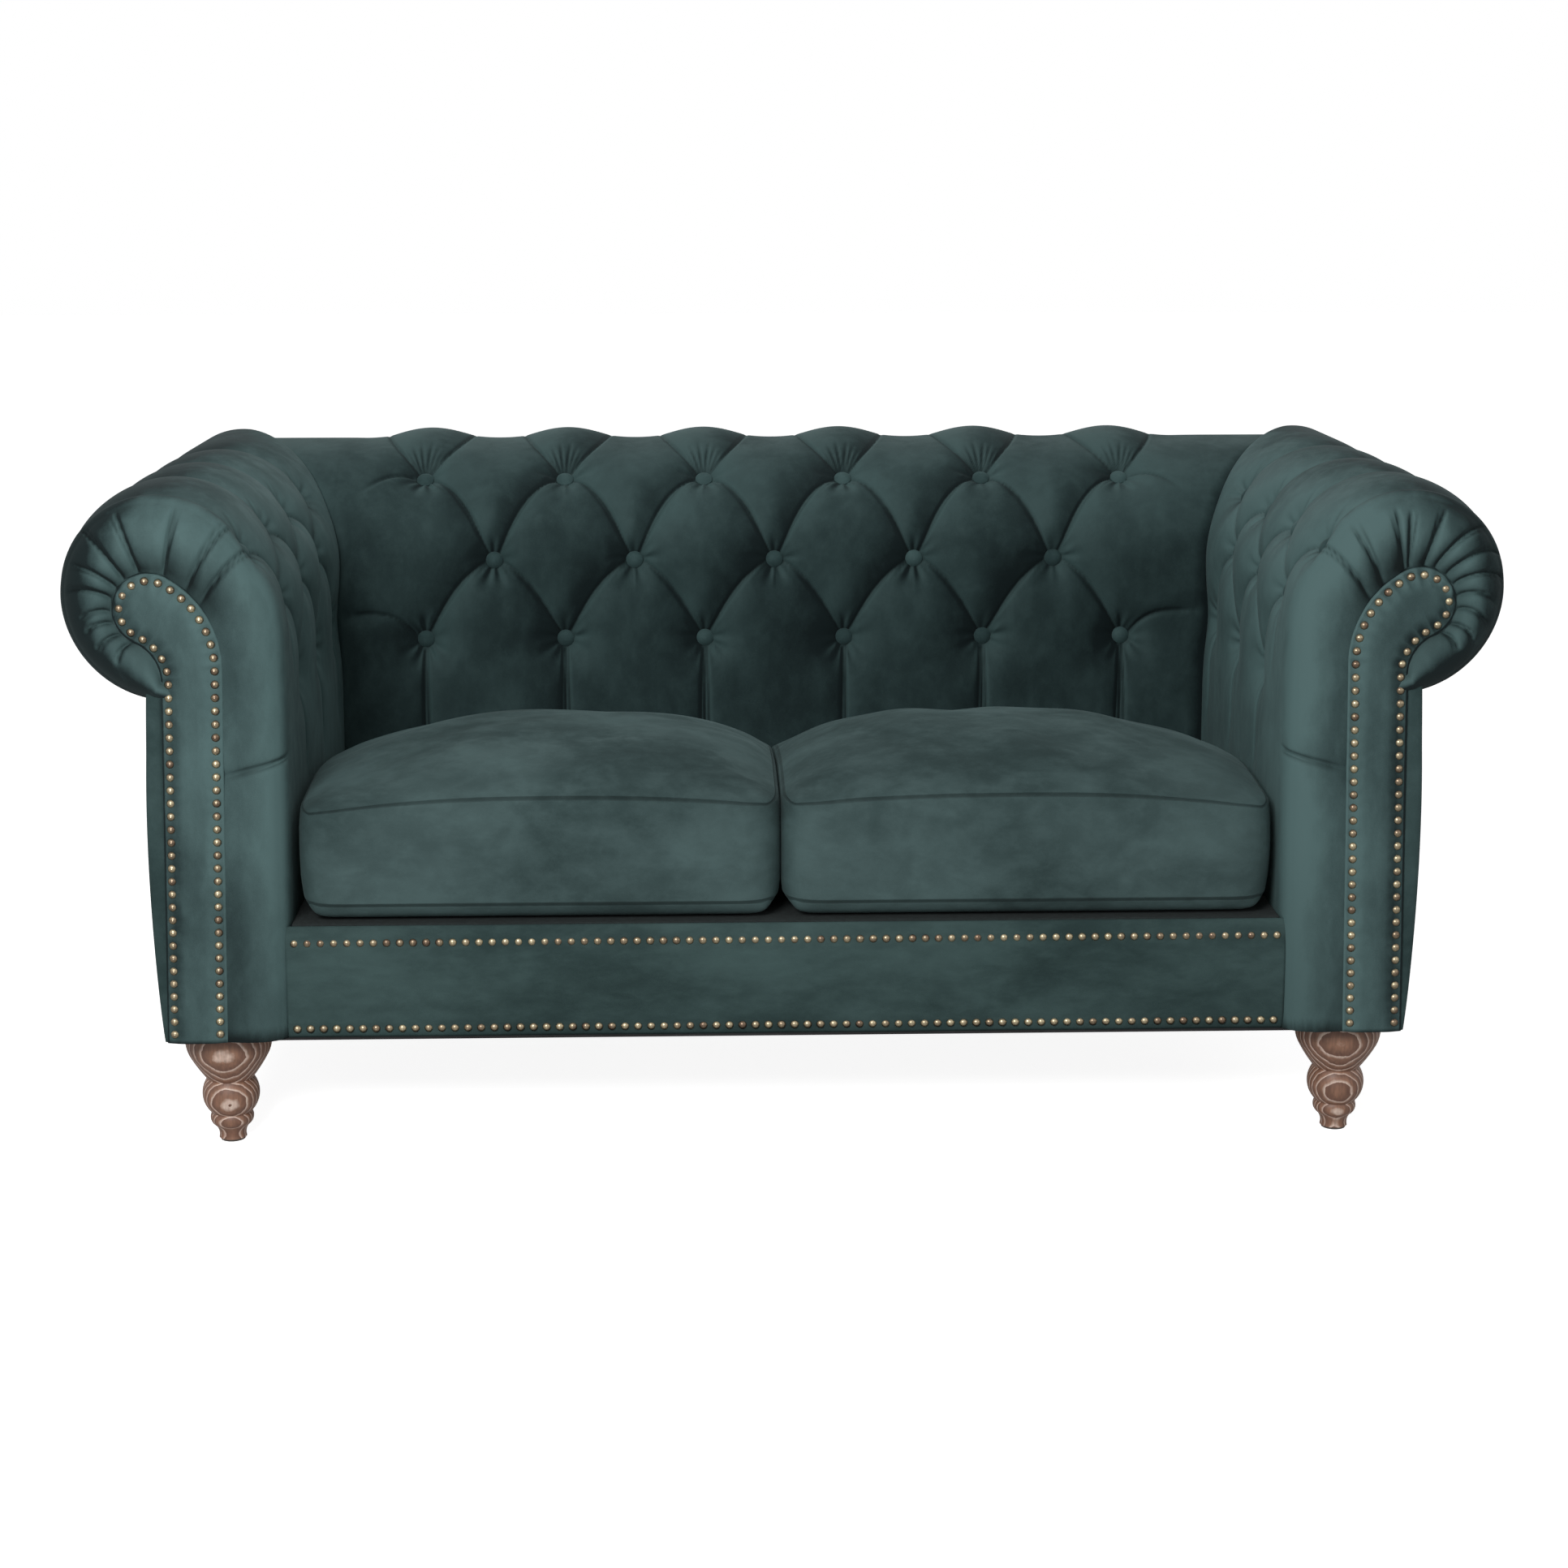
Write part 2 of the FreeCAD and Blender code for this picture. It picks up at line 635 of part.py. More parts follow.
level_depths = [0] * len(back_stops)


def back_point(s, x, depth):
    y, z = back_form.point(s)
    out = back_form.outward(s)
    return x, y - out[0] * depth, z - out[1] * depth


def back_section(x, depths):
    edges = padded_edges(lambda s, depth: back_point(s, x, depth), back_stops, depths)
    start, end = back_point(0, x, depths[0]), back_point(4, x, depths[-1])
    corners = [end, (x, back_wall_y, back_under_z), (x, back_wall_y, frame_top_z), start]
    edges += [line(corners[i], corners[i + 1]) for i in range(3)]
    return Part.Wire(edges)


def back_stations():
    """A section at each button column and half-way between, plain out to the corners."""
    quarter = back_button_pitch / 4
    last = 2 * back_button_columns - 1
    stations = []
    for i in range(-last, last + 1):
        depths = (valley_depths, slope_depths, column_depths, slope_depths)[i % 4]
        stations.append((i * quarter, depths))
    side = (last + 1) * quarter
    for x in (side, max(back_rail_half, side) + quarter, arm_axis_x + roll_radius + quarter):
        stations = [(-x, level_depths)] + stations + [(x, level_depths)]
    return stations


def back_button_places():
    places = []
    for row, s in enumerate((back_low_s, back_mid_s, back_high_s)):
        count = back_button_columns - row % 2
        out = back_form.outward(s)
        for column in range(count):
            x = (column - (count - 1) / 2) * back_button_pitch
            places.append((Vector(*back_point(s, x, pit_depth + 1)), Vector(0, out[0], out[1])))
    return places


back_pad = Part.makeLoft([back_section(x, depths) for x, depths in back_stations()], True, True)
back_pad = back_pad.common(behind_mitre(-piece_gap / 2))
back_places = back_button_places()
back_pad = cut_all(back_pad, uprights + [back_top_rail, rear_post, mirrored(rear_post),
                                         arm_top_rail, mirrored(arm_top_rail)])
back_pad = cut_all(back_pad, [button_pocket(base, out) for base, out in back_places])
save("inside_back_pad", largest(back_pad))
save("back_buttons", group([button_shape(base, out) for base, out in back_places]))
save("outside_back_panel", box(-arm_outer_x, arm_outer_x, outside_back_y,
                               outside_back_y + panel_thickness, body_bottom_z,
                               back_under_z - piece_gap))

# Webbing that carries the inside pads


def strips(low, high, width, count):
    """Start of each of a row of even strips between two ends."""
    step = (high - low - width) / (count - 1)
    return [low + i * step for i in range(count)]


arm_web_low = frame_top_z + tack_rail_height - webbing_lap
arm_web_high = arm_under_z - tack_rail_height + webbing_lap
save_pair("arm_webbing", group([box(arm_wall_x, web_x, y, y + webbing_width, arm_web_low,
                                    arm_web_high)
                                for y in strips(arm_button_first_y, back_face_y, webbing_width,
                                                arm_strap_count)]))
back_web_low = frame_top_z + tack_rail_height - webbing_lap
back_web_high = back_under_z - tack_rail_height + webbing_lap
web_front_y = rear_rail_y - webbing_thickness
save("back_webbing", group([box(x, x + webbing_width, web_front_y, rear_rail_y, back_web_low,
                                back_web_high)
                            for x in strips(-rear_rail_half, rear_rail_half, webbing_width,
                                            back_strap_count)]))

# Seat: springs in their clips, deck pad, nailed front border

spring_front_y = front_rail_y + lip_thickness + pin_gap + clip_width / 2
spring_back_y = rear_rail_y + rail_thickness / 2
loop_radius = (spring_back_y - spring_front_y) / (spring_runs - 1) / 2


def zigzag_spring(x):
    """Sinuous wire spring: runs across the seat joined by half turns, front to back."""
    half = spring_run_length / 2
    edges = []
    for run in range(spring_runs):
        side = 1 if run % 2 == 0 else -1
        y = spring_front_y + 2 * loop_radius * run
        start, end = (x - side * half, y, spring_z), (x + side * half, y, spring_z)
        edges.append(line(start, end))
        if run < spring_runs - 1:
            outer = (end[0] + side * loop_radius, y + loop_radius, spring_z)
            edges.append(arc(end, outer, (end[0], y + 2 * loop_radius, spring_z)))
    path = Part.Wire(edges)
    start = Vector(x - half, spring_front_y, spring_z)
    ring = Part.Wire(Part.makeCircle(wire_diameter / 2, start, Vector(1, 0, 0)))
    return path.makePipeShell([ring], True, False)


def spring_clip(x, y):
    block = box(x - clip_length / 2, x + clip_length / 2, y - clip_width / 2, y + clip_width / 2,
                seat_rail_top_z, seat_rail_top_z + clip_height)
    bore = Part.makeCylinder(wire_diameter / 2 + clip_gap, clip_length,
                             Vector(x - clip_length / 2, y, spring_z), Vector(1, 0, 0))
    return block.cut(bore)


spring_half = seat_width / 2 - spring_run_length
spring_xs = [-spring_half + 2 * spring_half * i / (spring_count - 1) for i in range(spring_count)]
save("seat_springs", group([zigzag_spring(x) for x in spring_xs]))
save("spring_clips", group([spring_clip(x, y) for x in spring_xs
                            for y in (spring_front_y, spring_back_y)]))

deck_half = arm_form.point(arm_form.at_height(deck_z))[0] - cloth_swell - piece_gap
deck_back_y = back_face_y - back_rake - cloth_swell - piece_gap
save("seat_deck_pad", box(-deck_half, deck_half, front_rail_y, deck_back_y, frame_top_z, deck_z))

border_half = min(arm_point(arm_form.at_height(z), border_front_y, -cloth_swell)[0]
                  for z in (body_bottom_z, border_top_z)) - cloth_swell - piece_gap
border = box(-border_half, border_half, border_front_y, front_rail_y, body_bottom_z, border_top_z)


def rail_nail_places(height):
    last_x = border_half - rail_nail_end
    count = int(2 * last_x / nail_pitch)
    return [(-last_x + 2 * last_x * i / count, body_bottom_z + height) for i in range(count + 1)]


lower_places, upper_places = [rail_nail_places(height) for height in (rail_nail_low, rail_nail_high)]
rail_pins = nail_pins(lower_places + upper_places, border_front_y)
save("front_border", border.cut(rail_pins))
save("front_seat_rail", front_rail.cut(rail_pins))
save("front_lower_nails", group([nail(x, border_front_y, z) for x, z in lower_places]))
save("front_upper_nails", group([nail(x, border_front_y, z) for x, z in upper_places]))

# Loose seat cushions: a foam core in a boxed cover with a zip across its back

cushion_base_z = deck_z + rest_gap
cushion_side_x = seat_width / 2 - lift_gap
# Height above the base, distance inside the widest outline, and the sides' bow at each level
cushion_levels = [(0.0, 46.0, 1.0), (6.0, 22.0, 1.0), (cushion_lower_seam, 3.5, -1.5),
                  (cushion_lower_seam + 26, 1.0, 1.0), (cushion_upper_seam - 32, 1.0, 1.0),
                  (cushion_upper_seam, 4.0, -1.5), (cushion_upper_seam + 22, 24.0, 2.0),
                  (cushion_upper_seam + 39, 64.0, 4.0), (cushion_upper_seam + 49, 116.0, 6.0),
                  (cushion_height, 176.0, 6.0)]


def cushion_outline(x0, x1, z, inset, bow, corner):
    """A rounded rectangle whose sides bow out, or are drawn in where the bow is negative."""
    x0, x1 = x0 + inset, x1 - inset
    y0, y1 = cushion_front_y + inset, cushion_back_y - inset
    middle_x, middle_y = (x0 + x1) / 2, (y0 + y1) / 2
    cut = corner * (1 - math.sqrt(0.5))
    rim = [((x0, y0 + corner), (x0 + cut, y0 + cut), (x0 + corner, y0), (middle_x, y0 - bow)),
           ((x1 - corner, y0), (x1 - cut, y0 + cut), (x1, y0 + corner), (x1 + bow, middle_y)),
           ((x1, y1 - corner), (x1 - cut, y1 - cut), (x1 - corner, y1), (middle_x, y1 + bow)),
           ((x0 + corner, y1), (x0 + cut, y1 - cut), (x0, y1 - corner), (x0 - bow, middle_y))]
    edges = []
    for i in range(4):
        start, middle, end, side = [(x, y, z) for x, y in rim[i]]
        following = rim[(i + 1) % 4][0] + (z,)
        edges += [arc(start, middle, end), arc(end, side, following)]
    return Part.Wire(edges)


def cushion_form(x0, x1, shrink):
    sections = []
    top = cushion_height - shrink
    for height, inset, bow in cushion_levels:
        z = min(max(height, shrink), top)
        if sections and z <= sections[-1][0]:
            continue
        sections.append((z, inset + shrink, bow))
    wires = [cushion_outline(x0, x1, cushion_base_z + z, inset, bow, cushion_corner)
             for z, inset, bow in sections]
    return Part.makeLoft(wires, True, True)


zip_z = cushion_base_z + (cushion_lower_seam + cushion_upper_seam) / 2
zip_floor_y = cushion_back_y - zip_depth
slider_back_y = zip_floor_y + zip_tape_thickness + slider_gap
slider_front_y = slider_back_y + zip_ridge_thickness + slider_wall


def zip_recess(middle_x, grow):
    return box(middle_x - zip_length / 2 - grow, middle_x + zip_length / 2 + grow,
               zip_floor_y - grow, cushion_back_y + cut_reach, zip_z - zip_tape / 2 - grow,
               zip_z + zip_tape / 2 + grow)


def zip_slider(middle_x):
    """Slider closed at the right end of the zip, its pull lying back along the teeth."""
    x1 = middle_x + zip_length / 2 - slider_length / 2
    x0 = x1 - slider_length
    half = slider_height / 2
    groove = zip_ridge_height / 2 + slider_gap
    body = box(x0, x1, slider_back_y, slider_front_y, zip_z - half, zip_z + half)
    body = body.cut(box(x0, x1, slider_back_y, slider_front_y - slider_wall + slider_gap,
                        zip_z - groove, zip_z + groove))
    pull = box(x0 - pull_length, x1 - slider_length / 3, slider_front_y,
               slider_front_y + pull_thickness, zip_z - pull_width / 2, zip_z + pull_width / 2)
    return body.fuse(pull).removeSplitter()


def save_cushion(side, x0, x1):
    middle_x = (x0 + x1) / 2
    lining = cover_thickness
    inside = cushion_form(x0, x1, lining).cut(zip_recess(middle_x, lining))
    cover = cushion_form(x0, x1, 0).cut(inside).cut(zip_recess(middle_x, 0))
    core = cushion_form(x0, x1, lining + piece_gap).cut(zip_recess(middle_x, lining + piece_gap))
    tape = box(middle_x - zip_length / 2, middle_x + zip_length / 2, zip_floor_y,
               zip_floor_y + zip_tape_thickness, zip_z - zip_tape / 2, zip_z + zip_tape / 2)
    ridge = box(middle_x - zip_length / 2, middle_x + zip_length / 2,
                zip_floor_y + zip_tape_thickness,
                zip_floor_y + zip_tape_thickness + zip_ridge_thickness,
                zip_z - zip_ridge_height / 2, zip_z + zip_ridge_height / 2)
    save(side + "_seat_cushion_cover", cover)
    save(side + "_seat_cushion_core", core)
    save(side + "_cushion_zip", tape.fuse(ridge).removeSplitter())
    save(side + "_zip_slider", zip_slider(middle_x))


save_cushion("left", -cushion_side_x, cushion_split_x - lift_gap / 2)
save_cushion("right", cushion_split_x + lift_gap / 2, cushion_side_x)

# Turned feet with their plates, bolts and glides


def turned_foot(x, y):
    top = body_bottom_z - foot_plate_thickness
    low = glide_height
    rise = top - low

    def at(radius, share):
        return (x + radius, y, low + rise * share)
    edges = [arc(at(foot_top_radius, 1), at(foot_cup_radius, 0.87), at(foot_cup_radius - 4, 0.76)),
             arc(at(foot_cup_radius - 4, 0.76), at(foot_bulb_radius + 2, 0.62),
                 at(foot_neck_radius, 0.54)),
             arc(at(foot_neck_radius, 0.54), at(foot_bulb_radius, 0.42),
                 at(foot_waist_radius, 0.23)),
             arc(at(foot_waist_radius, 0.23), at(foot_ring_radius, 0.17),
                 at(foot_waist_radius - 3, 0.115)),
             arc(at(foot_waist_radius - 3, 0.115), at(foot_ankle_radius, 0.06),
                 at(foot_ankle_radius, 0))]
    axis_low, axis_high = (x, y, low), (x, y, top)
    edges += [line(at(foot_ankle_radius, 0), axis_low), line(axis_low, axis_high),
              line(axis_high, at(foot_top_radius, 1))]
    turned = Part.Face(Part.Wire(edges)).revolve(Vector(x, y, 0), Vector(0, 0, 1), 360)
    bore = Part.makeCylinder(bolt_diameter / 2 + bolt_gap, bolt_reach + bolt_gap,
                             Vector(x, y, top - bolt_reach - bolt_gap))
    return turned.cut(bore)


foot_centres = [(foot_x, front_foot_y), (-foot_x, front_foot_y), (foot_x, rear_foot_y),
                (-foot_x, rear_foot_y)]
for name, (x, y) in zip(("front_right", "front_left", "rear_right", "rear_left"), foot_centres):
    save(name + "_foot", turned_foot(x, y))

plate_low_z = body_bottom_z - foot_plate_thickness
bolt_low_z = plate_low_z - bolt_reach
bolt_bores = group([Part.makeCylinder(bolt_diameter / 2 + bolt_gap, block_top_z,
                                      Vector(x, y, bolt_low_z)) for x, y in foot_centres])
half_plate = foot_plate_size / 2
plates = [box(x - half_plate, x + half_plate, y - half_plate, y + half_plate, plate_low_z,
              body_bottom_z) for x, y in foot_centres]
save("foot_plates", group([plate.cut(bolt_bores) for plate in plates]))
blocks = [front_block, mirrored(front_block), rear_block, mirrored(rear_block)]
save("foot_blocks", group([block.cut(bolt_bores) for block in blocks]))


def foot_bolt(x, y):
    shank = Part.makeCylinder(bolt_diameter / 2, block_top_z - bolt_low_z, Vector(x, y, bolt_low_z))
    head = Part.makeCylinder(bolt_head_diameter / 2, bolt_head_height, Vector(x, y, block_top_z))
    return shank.fuse(head).removeSplitter()


save("foot_bolts", group([foot_bolt(x, y) for x, y in foot_centres]))
save("foot_glides", group([Part.makeCylinder(glide_radius, glide_height, Vector(x, y, 0))
                           for x, y in foot_centres]))

dust_x = arm_outer_x - dust_cover_inset
dust_cover = box(-dust_x, dust_x, facing_back_y + dust_cover_inset, outside_back_y - dust_cover_inset,
                 body_bottom_z - dust_cover_thickness, body_bottom_z)
room = half_plate + foot_room
plate_rooms = [box(x - room, x + room, y - room, y + room, 0, body_bottom_z) for x, y in foot_centres]
foot_rooms = [Part.makeCylinder(foot_cup_radius + foot_room, body_bottom_z, Vector(x, y, 0))
              for x, y in foot_centres]
save("dust_cover", cut_all(dust_cover, plate_rooms + foot_rooms))
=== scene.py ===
import math

import bmesh
import bpy
import numpy as np
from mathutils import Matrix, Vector


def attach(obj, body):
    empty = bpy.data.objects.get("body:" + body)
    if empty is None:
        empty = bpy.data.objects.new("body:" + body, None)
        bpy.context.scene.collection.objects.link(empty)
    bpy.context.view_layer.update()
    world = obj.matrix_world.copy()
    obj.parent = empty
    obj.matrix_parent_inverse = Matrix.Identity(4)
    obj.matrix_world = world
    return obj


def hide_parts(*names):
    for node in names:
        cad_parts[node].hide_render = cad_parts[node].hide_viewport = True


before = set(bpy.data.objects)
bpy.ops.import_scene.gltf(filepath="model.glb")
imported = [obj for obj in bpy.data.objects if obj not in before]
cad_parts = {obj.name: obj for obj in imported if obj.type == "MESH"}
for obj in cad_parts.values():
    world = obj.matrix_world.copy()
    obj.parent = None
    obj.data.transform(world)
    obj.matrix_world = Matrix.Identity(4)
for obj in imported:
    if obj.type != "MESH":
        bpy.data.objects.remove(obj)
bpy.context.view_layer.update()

# The sofa stands on a pale floor and is seen from a little left of its middle, from above
# the seat. A broad soft lamp stands high in front; weaker ones fill from the right and above.

camera_data = bpy.data.cameras.new("camera")
camera_data.lens, camera_data.sensor_width = 65.22, 36.0
camera = bpy.data.objects.new("camera", camera_data)
camera.location = (-0.1084, -3.7327, 1.2520)
pitch_down, turned_right = math.radians(13.435), math.radians(1.794)
camera.rotation_euler = (math.pi / 2 - pitch_down, 0.0, -turned_right)
bpy.context.collection.objects.link(camera)
bpy.context.scene.camera = camera
bpy.context.scene.view_settings.view_transform = "Standard"


def area_lamp(name, place, aim, size, power):
    """A soft rectangular lamp turned to its aim."""
    data = bpy.data.lights.new(name, "AREA")
    data.shape = "RECTANGLE"
    data.size, data.size_y = size
    data.energy = power
    lamp = bpy.data.objects.new(name, data)
    lamp.location = place
    lamp.rotation_euler = (Vector(aim) - Vector(place)).to_track_quat("-Z", "Y").to_euler()
    bpy.context.collection.objects.link(lamp)


area_lamp("key_lamp", (-1.1, -3.4, 2.3), (0.0, 0.0, 0.5), (1.3, 1.0), 100.0)
area_lamp("right_fill", (2.8, -2.6, 1.8), (0.0, 0.0, 0.4), (1.6, 1.6), 9.0)
area_lamp("top_lamp", (0.0, 0.6, 3.2), (0.0, 0.0, 0.4), (2.6, 1.6), 24.0)


def feed(tree, node, inputs):
    """Fills inputs, named or numbered, with a constant or with the output that feeds them."""
    for key, value in inputs.items():
        if isinstance(value, bpy.types.NodeSocket):
            tree.links.new(value, node.inputs[key])
        else:
            node.inputs[key].default_value = value


def add_node(tree, kind, inputs=None, **values):
    """Adds a shader node, sets its plain properties and feeds its inputs."""
    node = tree.nodes.new("ShaderNode" + kind)
    for key, value in values.items():
        setattr(node, key, value)
    feed(tree, node, inputs or {})
    return node


def new_paint(name):
    """A new material with its node tree and its main shader."""
    paint = bpy.data.materials.new(name)
    paint.use_nodes = True
    return paint, paint.node_tree, paint.node_tree.nodes["Principled BSDF"]


def finished(name, form):
    """Turns a bmesh into a smooth shaded object at the origin."""
    mesh = bpy.data.meshes.new(name)
    form.to_mesh(mesh)
    form.free()
    mesh.shade_smooth()
    piece = bpy.data.objects.new(name, mesh)
    bpy.context.collection.objects.link(piece)
    return piece


# The camera and mirror rays see plain white, and all other light is a dim sky
world = bpy.data.worlds.new("studio")
bpy.context.scene.world = world
world.use_nodes = True
tree = world.node_tree
tree.nodes.clear()
path = add_node(tree, "LightPath").outputs
seen = add_node(tree, "Math", {0: path["Is Camera Ray"], 1: path["Is Glossy Ray"]},
                operation="MAXIMUM")
dim_sky = add_node(tree, "Background", {"Strength": 0.13})
white = add_node(tree, "Background", {"Color": (1, 1, 1, 1), "Strength": 1.0})
sky = add_node(tree, "MixShader", {0: seen.outputs[0], 1: dim_sky.outputs[0], 2: white.outputs[0]})
add_node(tree, "OutputWorld", {0: sky.outputs[0]})

floor_form = bmesh.new()
bmesh.ops.create_grid(floor_form, x_segments=1, y_segments=1, size=14.0)
floor = finished("floor", floor_form)
floor_paint, tree, shader = new_paint("floor_paint")
feed(tree, shader, {"Base Color": (0.9, 0.9, 0.9, 1), "Roughness": 0.9})
path = add_node(tree, "LightPath").outputs
lifted = add_node(tree, "Math", {0: path["Is Camera Ray"], 1: 0.9}, operation="MULTIPLY")
glow = add_node(tree, "Emission", {"Strength": lifted.outputs[0]})
both = add_node(tree, "AddShader", {0: shader.outputs[0], 1: glow.outputs[0]})
feed(tree, tree.nodes["Material Output"], {"Surface": both.outputs[0]})
floor.data.materials.append(floor_paint)

# The inside back is one deep pad of felt and foam under green velvet. Twine draws seventeen
# buttons into it in three rows, and the velvet is folded into a pleat from button to button.

roll_radius = 0.122
back_button_pitch = 0.193
back_button_columns = 6
back_row_z = {"low": 0.534, "mid": 0.643, "high": 0.762}
back_roll_valley = 0.014
corner = Vector((0.737, 0.328))        # where the arm's and the back's roll axes meet in plan
inner_corner = Vector((0.594, 0.138))  # where their faces meet


class RolledForm:
    """Section of a rolled arm or back: s is 0 at the foot of the face, 1 at its shoulder,
    2 at the top of the roll, 3 at its outermost line and 4 at its underside's end."""

    def __init__(self, face, foot, foot_z, shoulder_z, top_z, axis, axis_z, under, end):
        self.face, self.foot, self.foot_z, self.shoulder_z = face, foot, foot_z, shoulder_z
        self.top_z, self.axis, self.axis_z, self.under, self.end = top_z, axis, axis_z, under, end
        self.stops = np.linspace(0, 4, 801)
        across, height = self.point(self.stops)
        steps = np.hypot(np.diff(across), np.diff(height))
        self.lengths = np.concatenate(([0], np.cumsum(steps)))

    def point(self, s, fall=0.0):
        s = np.asarray(s, float)
        top_z = self.top_z - fall
        below = np.clip(1 - s, 0, 1)
        inner = np.radians(90 * (s - 1))
        outer = np.radians(90 * (3 - s))
        under = (s - 3) * math.acos((self.end - self.axis) / roll_radius)
        parts = [s <= 1, s <= 2, s <= 3]
        across = np.select(parts, [self.face + (self.foot - self.face) * below ** 1.5,
                                   self.axis - (self.axis - self.face) * np.cos(inner),
                                   self.axis + roll_radius * np.cos(outer)],
                           self.axis + roll_radius * np.cos(under))
        height = np.select(parts, [self.foot_z + (self.shoulder_z - self.foot_z) * s,
                                   self.shoulder_z + (top_z - self.shoulder_z) * np.sin(inner),
                                   self.axis_z + (top_z - self.axis_z) * np.sin(outer)],
                           self.axis_z - self.under * np.sin(under))
        return across, height

    def stop_at(self, z):
        """The stop on the face or the inner roll that lies at a height."""
        heights = self.point(self.stops[:401])[1]
        return float(np.interp(z, heights, self.stops[:401]))

    def length_at(self, stop):
        return np.interp(stop, self.stops, self.lengths)

    def length_up(self, z):
        """The length along the section from its foot up to a height on the face."""
        return self.length_at(self.stop_at(z))

    def stop_after(self, length):
        return np.interp(length, self.lengths, self.stops)


back_form = RolledForm(face=0.138, foot=0.125, foot_z=0.274, shoulder_z=0.640, top_z=0.806,
                       axis=0.328, axis_z=0.690, under=0.125, end=0.348)


def spread(*runs):
    """Grid lines from run to run, each given by its start and the spacing that follows it."""
    lines = []
    for (start, spacing), (end, _) in zip(runs[:-1], runs[1:]):
        count = max(int(round((end - start) / spacing)), 1)
        lines.extend(start + (end - start) * i / count for i in range(count))
    return np.array(lines + [runs[-1][0]])


def points_at(x, y, z):
    """A grid of points from its coordinates, each a grid, a row, a column or one number."""
    return np.stack(np.broadcast_arrays(x, y, z), axis=-1)


def rounded_rim(distance, reach):
    """Share of its full height at which cloth lies, a distance in from its rim."""
    return np.sin(np.clip(distance / reach, 0, 1) * math.pi / 2)


def smooth_step(low, high, value):
    """0 below the low value, 1 above the high one, and smoothly from one to the other."""
    share = np.clip((value - low) / (high - low), 0, 1)
    return share * share * (3 - 2 * share)


def arched_path(start, end, bow=0.0):
    """Steps in the flattened cloth from start to end, bowed sideways by a share of its length."""
    start, end = np.array(start, float), np.array(end, float)
    run = end - start
    side = np.array([-run[1], run[0]])
    share = np.linspace(0, 1, 14)[:, None]
    lean = 4 * share * (1 - share) * (1 + 0.35 * (1 - 2 * share))
    return start + run * share + side * bow * lean


